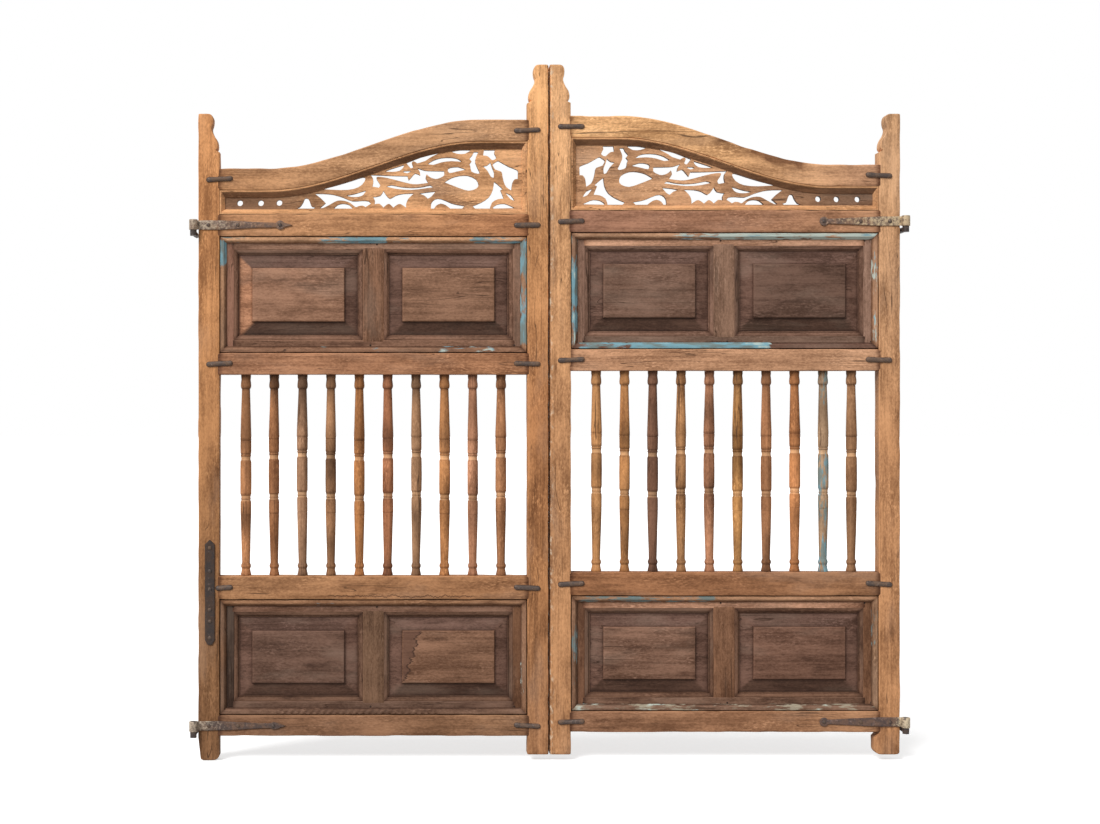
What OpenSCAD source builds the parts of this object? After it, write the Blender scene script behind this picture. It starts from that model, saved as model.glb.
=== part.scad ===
// Pair of wooden gate leaves with forged iron hinges.
// The leaves meet at x = 0. The front faces -Y, +Z is up and z = 0 is the lowest foot.
// Each leaf is drawn on the right of the seam, and the left leaf is its mirror image.

/* [Leaf frame] */
// Clear width between the two stiles of a leaf
opening_w = 800; // [720:5:880]
// Width of a stile
stile_w = 56; // [52:1:64]
// Thickness of stiles and rails
frame_t = 44; // [40:1:50]
// Gap between the two leaves at the seam
seam_gap = 2.5; // [2.2:0.1:6]
// Height of the meeting stiles' lower ends
meeting_foot_z = 15; // [5:1:30]
// Height of the meeting stiles' tops
meeting_top_z = 1810; // [1790:5:1860]
// Height of the hinge stiles' tops
hinge_top_z = 1682; // [1670:2:1720]
// Height of the right hinge stile's foot
right_foot_z = 15; // [5:1:30]
// Round on the inner corner of a hinge stile's foot
foot_inner_r = 16; // [6:1:24]
// Round on the outer corner of a hinge stile's foot
foot_outer_r = 8; // [4:1:16]
// How far the right foot bulges inwards under the bottom rail
right_toe = 12; // [0:1:16]
// How far the left foot tapers in at its outer edge
left_taper = 6; // [0:1:12]
// How much lower the left leaf's rails are
left_drop = 10; // [0:1:14]

/* [Rails] */
// Height of the bottom rail's lower edge
bottom_rail_z = 73; // [60:1:90]
// Height of the bottom rail
bottom_rail_h = 55; // [48:1:66]
// Height of the lower rail
lower_rail_h = 62; // [52:1:70]
// Height of the middle rail
middle_rail_h = 57; // [50:1:66]
// Height of the frieze rail
frieze_rail_h = 58; // [50:1:66]
// Height of the curved top rail, measured upright
top_rail_h = 57; // [50:1:66]
// Thickness of the tenons on the rails
tenon_t = 14; // [10:1:16]
// Length of the tenons on the rails
tenon_l = 34; // [20:1:40]
// Height of the shoulder above and below a tenon
tenon_shoulder = 8; // [4:1:12]

/* [Fretwork] */
// Height of the fretwork opening at the hinge stile
fret_low_h = 62; // [56:1:70]
// Rise of the top rail from the hinge stile to the meeting stile
fret_rise = 127; // [110:1:134]
// Straight run of the top rail at each end
sweep_run = 128; // [90:2:160]
// Thickness of the fretwork panel
fret_t = 14; // [10:1:18]
// Radius of the round holes in the fretwork
fret_hole_r = 7.5; // [5:0.5:9]
// Width of the bead at the sides and foot of the fretwork
bead_w = 13; // [9:0.5:16]
// Width of the bead under the top rail
bead_top_w = 18; // [12:0.5:20]
// Flat front edge of the bead
bead_flat = 4; // [2:0.5:6]
// Width and depth of the quirk beside the bead's flat edge
bead_quirk = 1.5; // [0.5:0.25:2.5]
// How far the bead lies behind the frame's front
bead_set_back = 2; // [1:0.5:4]

/* [Spindles] */
// Length of a spindle between the rails
spindle_h = 523; // [500:1:560]
// Distance from spindle to spindle
spindle_pitch = 74; // [68:0.5:78]
// Largest radius of a spindle
spindle_r = 15; // [12:0.5:18]
// Radius of the round pin at each end of a spindle
spindle_pin_r = 6; // [4:0.5:8]
// Length of the round pin at each end of a spindle
spindle_pin_l = 14; // [8:1:20]
// How far the turner's rings wander from spindle to spindle
ring_wander = 5; // [0:0.5:8]

/* [Panels] */
// Height of the lower panel opening
lower_panel_h = 300; // [280:1:330]
// Height of the upper panel opening
upper_panel_h = 303; // [280:1:330]
// Width of the moulding strips
moulding_w = 17; // [12:0.5:22]
// How far the moulding lies behind the frame's front
moulding_set_back = 4; // [2:0.5:6]
// How far the panel frame lies behind the frame's front
panel_set_back = 14; // [11:0.5:16]
// Thickness of the panel frame
panel_frame_t = 22; // [20:1:26]
// Width of the panel frame's stiles
panel_stile_w = 50; // [42:1:60]
// Height of the panel frame's rails
panel_rail_h = 47; // [40:1:56]
// Width of the muntin between the two panels
muntin_w = 82; // [70:1:100]
// Width of the moulded edge round each panel
sticking_w = 13; // [10:0.5:18]
// Width of the flat fillet next to each panel
sticking_fillet = 3; // [2:0.5:4]
// Depth of the quirk at the moulded edge's outer side
sticking_quirk = 1; // [0.5:0.25:1.5]
// Wood left between the moulded edge and the panel's groove
sticking_lip = 1.2; // [0.8:0.1:1.6]
// Width of the grooves that hold the panels
groove_w = 6.4; // [5:0.2:8]
// Depth of the grooves that hold the panels
groove_d = 9; // [6:0.5:12]
// Width of a raised panel's bevel
panel_bevel = 33; // [24:1:40]
// Rise of a raised panel's bevel
panel_bevel_rise = 7; // [4:0.5:8]
// Step from a raised panel's bevel up to its field
panel_step = 6.5; // [2:0.5:8]

/* [Iron] */
// Thickness of the straps and the repair plate
strap_t = 4; // [3:0.5:5]
// Height of a strap at its eye
strap_h = 27; // [22:1:32]
// Height of a strap at its neck
strap_neck_h = 13; // [10:0.5:16]
// Length of the left upper strap from pin to tip
left_upper_strap_l = 256; // [230:2:280]
// Length of the left lower strap from pin to tip
left_lower_strap_l = 238; // [215:2:270]
// Length of the right straps from pin to tip
right_strap_l = 222; // [205:1:250]
// Outer radius of a strap's rolled eye
eye_r = 11.5; // [11:0.5:14]
// Distance of the hinge pins outside the hinge stiles
pin_offset = 10.5; // [10.5:0.5:14]
// Radius of the hinge pins
pin_r = 6; // [5:0.25:6.5]
// Length of the staples
staple_l = 70; // [60:1:80]
// Half the height of the staples
staple_r = 7.5; // [5:0.5:9]
// Radius of the staples' prongs
prong_r = 2.5; // [2:0.25:3]
// Radius of the nail heads
nail_head_r = 5; // [4:0.5:6]
// Radius of the nail shanks
nail_shank_r = 2; // [1.5:0.1:2.5]
// Width of the repair plate
plate_w = 26; // [20:1:30]
// Height of the repair plate's lower end
plate_z = 301; // [280:1:320]
// Length of the repair plate
plate_l = 273; // [250:1:290]
// Height of the repair plate's pointed top and of its cut foot corners
plate_point = 12; // [8:1:16]
// Width of the repair plate's flat foot
plate_foot_w = 12; // [8:1:16]
// Radius of the wall spikes
spike_r = 6; // [5:0.5:7]
// Length of the wall spikes behind the leaf's back
spike_l = 33; // [25:1:40]

/* [Fits] */
// Clearance of tenons and panels in the frame
joint_fit = 0.2; // [0.1:0.05:0.4]
// Clearance of round pins, prongs and nails in their holes
peg_fit = 0.15; // [0.1:0.05:0.3]
// Clearance of the hinge pins in their eyes
hinge_fit = 0.3; // [0.2:0.05:0.5]
// Clearance of the eyes from the front of the frame
eye_fit = 0.5; // [0.4:0.1:1]

/* [Hidden] */
SIDES = ["left", "right"];
SPINDLES = 10;
PIECES = ["hinge_stile", "meeting_stile", "top_rail", "frieze_rail", "middle_rail", "lower_rail",
    "bottom_rail", "fretwork", "fretwork_bead", "upper_moulding", "lower_moulding",
    "upper_panel_frame", "lower_panel_frame", "upper_panels", "lower_panels",
    "upper_strap", "lower_strap", "staples", "nails"];
$fn = 32;

// Colours of the wood and the iron
OAK = [0.70, 0.48, 0.30];
DARK_OAK = [0.42, 0.29, 0.23];
IRON = [0.22, 0.19, 0.17];

// Edges of the stiles, from the seam outwards
x_seam = seam_gap / 2;
x_meeting = x_seam + stile_w;
x_hinge = x_meeting + opening_w;
x_outer = x_hinge + stile_w;
x_pin = x_outer + pin_offset;

// Depths, from the front to the back
y_front = -frame_t / 2;
y_back = frame_t / 2;
y_panel = y_front + panel_set_back;
y_groove = y_panel + panel_frame_t / 2 - 1;
y_pin = y_front - eye_fit - eye_r;
cheek = (frame_t - tenon_t) / 2;
peg_l = cheek - 2;

// Heights of the rails and openings of one leaf
function z_bottom_rail(side) = bottom_rail_z - (side == "left" ? left_drop : 0);
function z_lower_panel(side) = z_bottom_rail(side) + bottom_rail_h;
function z_lower_rail(side) = z_lower_panel(side) + lower_panel_h;
function z_spindles(side) = z_lower_rail(side) + lower_rail_h;
function z_middle_rail(side) = z_spindles(side) + spindle_h;
function z_upper_panel(side) = z_middle_rail(side) + middle_rail_h;
function z_frieze_rail(side) = z_upper_panel(side) + upper_panel_h;
function z_fretwork(side) = z_frieze_rail(side) + frieze_rail_h;
function z_foot(side) = side == "left" ? 0 : right_foot_z;
function foot_toe(side) = side == "right" ? right_toe : 0;
function foot_taper(side) = side == "left" ? left_taper : 0;

// Lower edge of the top rail: level at both ends, with a double curve between
function ease(t) = let (c = max(0, min(1, t))) c * c * (3 - 2 * c);
function under_top_rail(side, x) = z_fretwork(side) + fret_low_h
    + fret_rise * (1 - ease((x - x_meeting - sweep_run) / (opening_w - 2 * sweep_run)));

// Height and size of each straight joint between rail and stile, as [foot, height]
function rail_seats(side, x) = [
    [z_bottom_rail(side), bottom_rail_h],
    [z_lower_rail(side), lower_rail_h],
    [z_middle_rail(side), middle_rail_h],
    [z_frieze_rail(side), frieze_rail_h],
    [under_top_rail(side, x), top_rail_h]];
function rail_mid(side, k, x) = let (seat = rail_seats(side, x)[k]) seat[0] + seat[1] / 2;

// Points on an arc from angle a to angle b
function arc(centre, r, a, b, steps = 6) = [for (i = [0:steps])
    centre + r * [cos(a + (b - a) * i / steps), sin(a + (b - a) * i / steps)]];

// Smooth curve through points: a third number marks a sharp corner
function flat(p) = [p[0], p[1]];
function slope(p, i) = let (n = len(p))
    len(p[i]) > 2 ? [0, 0] : (flat(p[(i + 1) % n]) - flat(p[(i + n - 1) % n])) / 2;
function between(a, b, m, k, t) = a * (2 * t * t * t - 3 * t * t + 1) + m * (t * t * t - 2 * t * t + t)
    + b * (3 * t * t - 2 * t * t * t) + k * (t * t * t - t * t);
function smooth_loop(p, steps) = let (n = len(p)) [for (i = [0:n - 1]) for (s = [0:steps - 1])
    between(flat(p[i]), flat(p[(i + 1) % n]), slope(p, i), slope(p, (i + 1) % n), s / steps)];

module on_leaf(side) {
    mirror([side == "left" ? 1 : 0, 0, 0]) children();
}

// Upright outline in x and z, made thick from depth y0 to depth y1
module upright(y0, y1) {
    translate([0, y1, 0]) rotate([90, 0, 0]) linear_extrude(y1 - y0) children();
}

module block(x0, x1, y0, y1, z0, z1) {
    translate([x0, y0, z0]) cube([x1 - x0, y1 - y0, z1 - z0]);
}

// Round peg or hole from the frame's front into the wood
module peg(x, z, r, l) {
    translate([x, y_front, z]) rotate([-90, 0, 0]) cylinder(h = l, r = r);
}

// Stiles
finial = [[30, 0, 1], [36, 4], [39.5, 13], [38.5, 27], [35.5, 37], [37, 46], [42, 57], [49, 68],
    [52, 80], [51, 90], [46, 95, 1]];
finial_h = 100;
finial_plain_w = 56;

// Carved edge of a stile's top, from its flat top down, at an edge x that faces dir
function finial_edge(x, dir, top) = let (curve = smooth_loop(finial, 3), k = stile_w / finial_plain_w)
    [for (i = [0:3 * (len(finial) - 1)]) [x + dir * k * curve[i][0], top - curve[i][1]]];

module mortises(side, x, dir) {
    for (seat = rail_seats(side, x)) {
        end = x + dir * (tenon_l + 1);
        block(min(x, end), max(x, end), -tenon_t / 2 - joint_fit, tenon_t / 2 + joint_fit,
            seat[0] + tenon_shoulder - joint_fit, seat[0] + seat[1] - tenon_shoulder + joint_fit);
    }
}

module hinge_stile(side) {
    foot = z_foot(side);
    under_rail = z_bottom_rail(side) - 2;
    outer = x_outer - foot_taper(side);
    inner = x_hinge - foot_toe(side);
    color(OAK) on_leaf(side) difference() {
        upright(y_front, y_back) polygon(concat(
            arc([outer - foot_outer_r, foot + foot_outer_r], foot_outer_r, -90, 0),
            [[x_outer, under_rail], [x_outer, hinge_top_z]],
            finial_edge(x_outer, -1, hinge_top_z),
            [[x_hinge, hinge_top_z - finial_h], [x_hinge, under_rail]],
            [[inner, under_rail - foot_toe(side) - 1]],
            arc([inner + foot_inner_r, foot + foot_inner_r], foot_inner_r, 180, 270)));
        mortises(side, x_hinge, 1);
        staple_holes(side);
        nail_holes(side);
    }
}

module meeting_stile(side) {
    color(OAK) on_leaf(side) difference() {
        upright(y_front, y_back) polygon(concat(
            [[x_seam, meeting_foot_z], [x_seam, meeting_top_z]],
            finial_edge(x_seam, 1, meeting_top_z),
            [[x_meeting, meeting_top_z - finial_h], [x_meeting, meeting_foot_z]]));
        mortises(side, x_meeting, -1);
        staple_holes(side);
    }
}

// Rails
module tenons(z0, h_meeting, z1, h_hinge) {
    block(x_meeting - tenon_l, x_meeting + 1, -tenon_t / 2, tenon_t / 2,
        z0 + tenon_shoulder, z0 + h_meeting - tenon_shoulder);
    block(x_hinge - 1, x_hinge + tenon_l, -tenon_t / 2, tenon_t / 2,
        z1 + tenon_shoulder, z1 + h_hinge - tenon_shoulder);
}

module straight_rail(side, z, h) {
    difference() {
        union() {
            block(x_meeting, x_hinge, y_front, y_back, z, z + h);
            tenons(z, h, z, h);
        }
        staple_holes(side);
        nail_holes(side);
    }
}

module bottom_rail(side) {
    color(OAK) on_leaf(side) straight_rail(side, z_bottom_rail(side), bottom_rail_h);
}

module frieze_rail(side) {
    color(OAK) on_leaf(side) straight_rail(side, z_frieze_rail(side), frieze_rail_h);
}

// Row of holes for the spindle pins, upwards from height z
module spindle_holes(z) {
    for (i = [1:SPINDLES])
        translate([spindle_x(i), 0, z]) cylinder(h = spindle_pin_l + 1, r = spindle_pin_r + peg_fit);
}

module lower_rail(side) {
    color(OAK) on_leaf(side) difference() {
        straight_rail(side, z_lower_rail(side), lower_rail_h);
        spindle_holes(z_spindles(side) - spindle_pin_l - 1);
    }
}

module middle_rail(side) {
    color(OAK) on_leaf(side) difference() {
        straight_rail(side, z_middle_rail(side), middle_rail_h);
        spindle_holes(z_middle_rail(side));
    }
}

curve_steps = 32;
function curve_x(i, inset) = x_meeting + inset + (opening_w - 2 * inset) * i / curve_steps;

module top_rail(side) {
    color(OAK) on_leaf(side) difference() {
        union() {
            upright(y_front, y_back) polygon(concat(
                [for (i = [0:curve_steps])
                    [curve_x(i, 0), under_top_rail(side, curve_x(i, 0)) + top_rail_h]],
                [for (i = [curve_steps:-1:0]) [curve_x(i, 0), under_top_rail(side, curve_x(i, 0))]]));
            tenons(under_top_rail(side, x_meeting), top_rail_h, under_top_rail(side, x_hinge), top_rail_h);
        }
        staple_holes(side);
    }
}

// Fretwork. Its cut-outs are drawn on a grid of squares, counted from the lower corner
// at the meeting stile: first the squares towards the hinge stile, then the squares up.
fret_columns = 298;
fret_rows = 61;
fret_round_holes = [[283, 6.5], [262, 6.5], [243.5, 6.8]];
fret_cut_outs = [
    // Small bell beside the round holes
    [[228, 1, 1], [223, 2.5], [219.5, 7.5], [218, 11], [214.5, 10.8], [212.5, 6.5], [211, 3], [207, 2.5, 1],
        [209, 1, 1]],
    // Long leaf with a hooked stem
    [[208, 16, 1], [199, 16], [189, 15], [179, 12], [170, 8.5], [161, 9], [154, 8.5], [151.5, 6, 1],
        [157, 2.5, 1], [160, 4], [164, 3.5], [167, 2.5], [172, 6.5], [178, 8.8], [185, 9], [191, 6],
        [199, 1.8], [203, 1.5, 1], [197, 6.5, 1], [202, 11.5]],
    // Half moon under the leaf
    [[189, 1, 1], [185, 4.7], [179, 6], [173, 4.5], [170, 1, 1]],
    // Two crescents above the leaf
    [[201, 20.7, 1], [186, 24.5], [171, 29], [160, 32.5], [157, 31], [160.5, 25], [169, 20.7], [183, 19.6]],
    [[176.5, 14.2, 1], [169, 15.5], [163, 17.3], [156.5, 19.2, 1], [159, 15], [164, 12.8], [171.5, 12.8]],
    // Broad ground between the vine and the wing
    [[152, 35, 1], [149.5, 31.5], [149.2, 27], [150.2, 23.2, 1], [143.5, 22, 1], [142.2, 24.7], [144.5, 28.5],
        [146, 31.5], [144.5, 33], [136, 32], [124, 29], [113, 26.2], [105, 25.5], [93.8, 27, 1],
        [96.7, 31.5], [95.5, 35.5, 1], [92, 32.5], [86.5, 30.8], [82, 32], [78, 34.5], [78, 38.8, 1],
        [90, 39], [98, 39.5], [105, 42, 1], [102.5, 38], [102, 34.5, 1], [107, 36.5], [110.5, 33],
        [113.5, 29.5, 1], [115, 33.8, 1], [126, 34], [139, 34.5]],
    // Slits under the top rail
    [[138, 38.5, 1], [131, 41], [118.5, 45, 1], [119, 42.5], [123, 39], [131, 38]],
    [[119.5, 38, 1], [117.5, 39], [111, 39, 1], [115, 36.5]],
    [[116, 47, 1], [106, 51], [93, 56], [85, 58.5], [78.5, 59, 1], [86, 55.5], [93, 51.7], [97, 49],
        [105, 46.5, 1], [108.5, 48.7], [110.5, 47], [109, 43, 1], [111.5, 41.5]],
    [[71, 58.5, 1], [62, 60], [51, 60, 1], [57, 56.2], [65, 56.2]],
    // Feathers of the wing
    [[94.5, 46, 1], [89, 49.5], [81, 52], [71, 52.4], [64, 51], [60, 48, 1], [71, 48.8], [81, 47.5], [89, 45]],
    [[74.5, 40], [72, 42.2], [64, 43], [56, 40.2, 1], [65, 38.4], [72.5, 36.8]],
    [[48, 58], [43.7, 57.8, 1], [46, 53], [46.7, 47], [42.2, 37.2, 1], [44, 36], [50.5, 38.2],
        [51.7, 43.5], [52.7, 45.7, 1], [50.5, 48.5, 1], [52.8, 51.2, 1], [49.5, 55]],
    // Openings at the meeting stile
    [[38, 60, 1], [27, 60, 1], [27.7, 56.5], [25.5, 52], [29.5, 49.7], [32.5, 52.2], [35, 54], [38.8, 54.5, 1]],
    [[39.2, 43.8, 1], [35, 44.5], [31.5, 47.5, 1], [29.7, 42], [27.8, 37], [28.3, 32.2, 1], [31, 33], [34.5, 39]],
    [[29.5, 45.5, 1], [24.5, 49], [21, 47.7], [13, 43.2], [4.5, 39.8], [3.8, 36], [4, 30.7, 1], [7, 30.5],
        [9.5, 27], [10.5, 19.2, 1], [15.5, 22.5], [18.2, 28], [19.5, 34], [20.7, 38.2], [27, 40.5]],
    [[49.5, 3.5, 1], [41, 7], [33, 12.5], [29, 20], [28, 28, 1], [25, 26], [19, 20.7, 1], [21.5, 19.5, 1],
        [20, 16], [18, 11, 1], [24, 10.5], [30, 7], [32, 1, 1], [47, 1, 1]],
    [[16.7, 17, 1], [11, 14.5], [7.2, 9, 1], [11.5, 10.5]],
    [[29.2, 2], [25, 5], [18, 6], [12, 4], [7, 1.5, 1], [28, 1, 1]],
    // Large drop shape in the body of the vine
    [[77.7, 27.5, 1], [71, 31.7], [63, 34], [54, 34.2], [46, 30.5], [43.5, 25], [46, 21], [53.5, 19], [63, 21.7]],
    // Slits and scallops below the vine
    [[136, 23.2, 1], [131, 24.7], [121, 22.8], [109, 22], [99, 23], [92, 24.5], [89, 22.5, 1], [97, 21.4],
        [111, 19.8], [126, 20.8]],
    [[139, 19, 1], [136.5, 15], [132.5, 11], [127, 14], [119, 16], [108.3, 16.3, 1], [113.5, 11.5],
        [116, 6.5], [116.3, 2, 1], [121.5, 5.5], [125, 5], [129, 2, 1], [133, 5.7], [136, 4.7], [139, 2, 1],
        [143, 6], [148, 5.2, 1], [147.5, 9], [149.5, 12.7, 1], [142, 14]],
    [[103.2, 16, 1], [97, 17.2], [86.5, 18.3, 1], [91, 13], [94.5, 11, 1], [98, 14.2]],
    [[91.2, 1, 1], [90.8, 6.5], [87, 10.5], [81, 10.7], [71, 6.5], [64, 4.7], [57.5, 3.7, 1], [60, 1, 1],
        [72, 1, 1], [76.5, 4.5], [81.5, 6], [86, 4], [88, 1, 1]]];
cut_steps = 2;

// Square counts to places in the leaf
function fret_place(side, p) = [
    x_meeting + bead_w + p[0] * (opening_w - 2 * bead_w) / fret_columns,
    z_fretwork(side) + bead_w + p[1] * (fret_low_h + fret_rise - bead_w - bead_top_w) / fret_rows];

// Outline of the fretwork opening, drawn in by side, foot and top insets
function fret_outline(side, inset, top) = concat(
    [[x_hinge - inset, z_fretwork(side) + inset], [x_meeting + inset, z_fretwork(side) + inset]],
    [for (i = [0:curve_steps]) [curve_x(i, inset), under_top_rail(side, curve_x(i, inset)) - top]]);

module fretwork(side) {
    color(OAK) on_leaf(side) difference() {
        upright(y_panel, y_panel + fret_t) polygon(fret_outline(side, joint_fit, joint_fit));
        upright(y_panel - 1, y_panel + fret_t + 1) for (cut = fret_cut_outs)
            polygon([for (p = smooth_loop(cut, cut_steps)) fret_place(side, p)]);
        for (p = fret_round_holes) {
            place = fret_place(side, p);
            translate([place[0], y_panel - 1, place[1]]) rotate([-90, 0, 0])
                cylinder(h = fret_t + 2, r = fret_hole_r);
        }
    }
}

// Bevelled bead: outlines joined ring to ring
module fretwork_bead(side) {
    y_edge = y_front + bead_set_back;
    rings = [
        [y_edge, joint_fit, joint_fit],
        [y_edge, bead_flat, bead_flat],
        [y_edge + bead_quirk, bead_flat, bead_flat],
        [y_edge + bead_quirk, bead_flat + bead_quirk, bead_flat + bead_quirk],
        [y_panel - 2, bead_w, bead_top_w],
        [y_panel, bead_w, bead_top_w],
        [y_panel, joint_fit, joint_fit]];
    n = curve_steps + 3;
    count = len(rings);
    points = [for (ring = rings) for (p = fret_outline(side, ring[1], ring[2])) [p[0], ring[0], p[1]]];
    faces = [for (k = [0:count - 1]) for (i = [0:n - 1]) for (half = [0, 1])
        let (a = k * n + i, b = k * n + (i + 1) % n,
            c = ((k + 1) % count) * n + i, d = ((k + 1) % count) * n + (i + 1) % n)
        half == 0 ? [a, b, c] : [b, d, c]];
    color(OAK) on_leaf(side) polyhedron(points, faces);
}

// Spindles
function spindle_x(i) = x_meeting + opening_w / 2 + (i - (SPINDLES + 1) / 2) * spindle_pitch;

// Turned profile as [radius, height] shares: foot, taper, rings, barrel, rings, taper, cap
function bead_arc(z0, z1, r0, r1) = [for (i = [0:6])
    [r0 + (r1 - r0) * sin(30 * i), z0 + (z1 - z0) * i / 6]];
function turned(shift) = concat(
    [[0.91, 0], [0.90, 4], [0.80, 10], [0.74, 16]],
    bead_arc(18, 31, 0.74, 0.88),
    [[0.70, 33], [0.92, 160 + shift], [0.89, 161.5 + shift], [0.93, 163 + shift], [0.94, 190 + shift]],
    [[0.92, 197 + shift], [0.80, 200 + shift], [0.80, 202 + shift]],
    bead_arc(202.5 + shift, 206 + shift, 0.81, 0.86),
    [[0.81, 209 + shift], [0.84, 212 + shift], [0.96, 217 + shift], [0.98, 260 + shift], [0.96, 301 + shift]],
    [[0.84, 305 + shift], [0.81, 309 + shift], [0.84, 313 + shift]],
    bead_arc(315 + shift, 320 + shift, 0.85, 0.92),
    [[0.95, 324 + shift], [0.97, 354 + shift], [0.93, 355.5 + shift], [0.98, 357 + shift], [0.72, 486]],
    [[0.82, 488], [0.90, 491], [0.92, 495], [0.90, 500], [0.81, 511], [0.86, 516], [0.88, 523]]);
turned_h = 523;

module spindle(side, i) {
    shift = ring_wander * sin(97 * i + (side == "left" ? 40 : 0));
    width = spindle_r * (1 + 0.02 * sin(151 * i));
    foot = z_spindles(side);
    color(OAK) on_leaf(side) translate([spindle_x(i), 0, foot]) {
        rotate_extrude() polygon(concat(
            [[0, -spindle_pin_l], [spindle_pin_r, -spindle_pin_l], [spindle_pin_r, 0]],
            [for (p = turned(shift)) [p[0] * width, p[1] * spindle_h / turned_h]],
            [[spindle_pin_r, spindle_h], [spindle_pin_r, spindle_h + spindle_pin_l],
                [0, spindle_h + spindle_pin_l]]));
    }
}

// Panels. Each section has mitred mouldings, a grooved frame and two raised panels.
moulding_profile = [[0, 0], [10 / 17, 0], [12 / 17, 0.15], [13 / 17, 0.4], [1, 0.75], [1, 1], [0, 1]];

// Strip of moulding along x, with its outer edge at z = 0 and both ends mitred
module moulding_strip(l) {
    rise = panel_set_back - moulding_set_back;
    intersection() {
        rotate([90, 0, 90]) linear_extrude(l) polygon([for (p = moulding_profile)
            [y_panel - rise * (1 - p[1]), p[0] * moulding_w]]);
        upright(y_panel - rise - 1, y_panel + 1)
            polygon([[joint_fit, 0], [l - joint_fit, 0], [l - joint_fit - moulding_w, moulding_w],
                [joint_fit + moulding_w, moulding_w]]);
    }
}

module moulding(z, h) {
    w = opening_w - 2 * joint_fit;
    tall = h - 2 * joint_fit;
    translate([x_meeting + opening_w / 2, 0, z + h / 2]) for (turn = [0:3])
        rotate([0, 90 * turn, 0]) {
            l = turn % 2 == 0 ? w : tall;
            depth = turn % 2 == 0 ? tall : w;
            translate([-l / 2, 0, -depth / 2]) moulding_strip(l);
        }
}

module upper_moulding(side) {
    color(OAK) on_leaf(side) moulding(z_upper_panel(side), upper_panel_h);
}

module lower_moulding(side) {
    color(OAK) on_leaf(side) moulding(z_lower_panel(side), lower_panel_h);
}

// Bounds of the two panel openings along x
x_panel_in = x_meeting + panel_stile_w;
x_panel_out = x_hinge - panel_stile_w;
panel_w = (x_panel_out - x_panel_in - muntin_w) / 2;
tongue_l = groove_d - 0.5;
tongue_t = groove_w - 2 * joint_fit;

// Front of the moulded edge over a clear opening w: quirk, quarter round and fillet
sticking_d = y_groove - groove_w / 2 - sticking_lip - y_panel;
sticking_step = 1.6;
function sticking_side(w, dir) = let (out = w / 2 + sticking_w, in = w / 2 + sticking_fillet,
    low = sticking_d - sticking_step) concat(
    [[dir * out, y_panel - 1]],
    [for (i = [0:5]) [dir * (out - (out - in) * sin(18 * i)),
        y_panel + low - (low - sticking_quirk) * cos(18 * i)]],
    [[dir * in, y_panel + sticking_d]]);
function sticking_section(w) = let (side = sticking_side(w, -1), n = len(side))
    concat(sticking_side(w, 1), [for (i = [n - 1:-1:0]) side[i]]);

// Solid that cuts the moulded edge round an opening, mitred at its corners
module sticking(x, z, w, h) {
    translate([x + w / 2, 0, z + h / 2]) intersection() {
        translate([0, 0, -h]) linear_extrude(2 * h) polygon(sticking_section(w));
        translate([-w, 0, 0]) rotate([90, 0, 90]) linear_extrude(2 * w)
            polygon([for (p = sticking_section(h)) [p[1], p[0]]]);
    }
}

// Groove or tongue of thickness t round the middle of the panel frame's depth
module tongue(x0, x1, z0, z1, t) {
    block(x0, x1, y_groove - t / 2, y_groove + t / 2, z0, z1);
}

module panel_frame_boards(z, h) {
    y_end = y_panel + panel_frame_t;
    z_in = z + panel_rail_h;
    z_out = z + h - panel_rail_h;
    // Stiles, grooved along their inner edges
    difference() {
        block(x_meeting + joint_fit, x_panel_in, y_panel, y_end, z + joint_fit, z + h - joint_fit);
        tongue(x_panel_in - groove_d, x_panel_in + 1, z, z + h, groove_w);
    }
    difference() {
        block(x_panel_out, x_hinge - joint_fit, y_panel, y_end, z + joint_fit, z + h - joint_fit);
        tongue(x_panel_out - 1, x_panel_out + groove_d, z, z + h, groove_w);
    }
    // Rails, tongued into the stiles and grooved along their inner edges
    difference() {
        union() {
            block(x_panel_in + joint_fit, x_panel_out - joint_fit, y_panel, y_end, z + joint_fit, z_in);
            tongue(x_panel_in - tongue_l, x_panel_out + tongue_l, z + joint_fit, z_in, tongue_t);
        }
        tongue(x_panel_in - groove_d, x_panel_out + groove_d, z_in - groove_d, z_in + 1, groove_w);
    }
    difference() {
        union() {
            block(x_panel_in + joint_fit, x_panel_out - joint_fit, y_panel, y_end, z_out, z + h - joint_fit);
            tongue(x_panel_in - tongue_l, x_panel_out + tongue_l, z_out, z + h - joint_fit, tongue_t);
        }
        tongue(x_panel_in - groove_d, x_panel_out + groove_d, z_out - 1, z_out + groove_d, groove_w);
    }
    // Muntin, tongued into the rails and grooved on both sides
    difference() {
        m0 = x_panel_in + panel_w;
        m1 = m0 + muntin_w;
        union() {
            block(m0, m1, y_panel, y_end, z_in + joint_fit, z_out - joint_fit);
            tongue(m0, m1, z_in - tongue_l, z_out + tongue_l, tongue_t);
        }
        tongue(m0 - 1, m0 + groove_d, z_in - groove_d, z_out + groove_d, groove_w);
        tongue(m1 - groove_d, m1 + 1, z_in - groove_d, z_out + groove_d, groove_w);
    }
}

module panel_frame(z, h) {
    difference() {
        panel_frame_boards(z, h);
        for (x = [x_panel_in, x_panel_out - panel_w])
            sticking(x, z + panel_rail_h, panel_w, h - 2 * panel_rail_h);
    }
}

module upper_panel_frame(side) {
    color(DARK_OAK) on_leaf(side) panel_frame(z_upper_panel(side), upper_panel_h);
}

module lower_panel_frame(side) {
    color(DARK_OAK) on_leaf(side) panel_frame(z_lower_panel(side), lower_panel_h);
}

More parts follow.
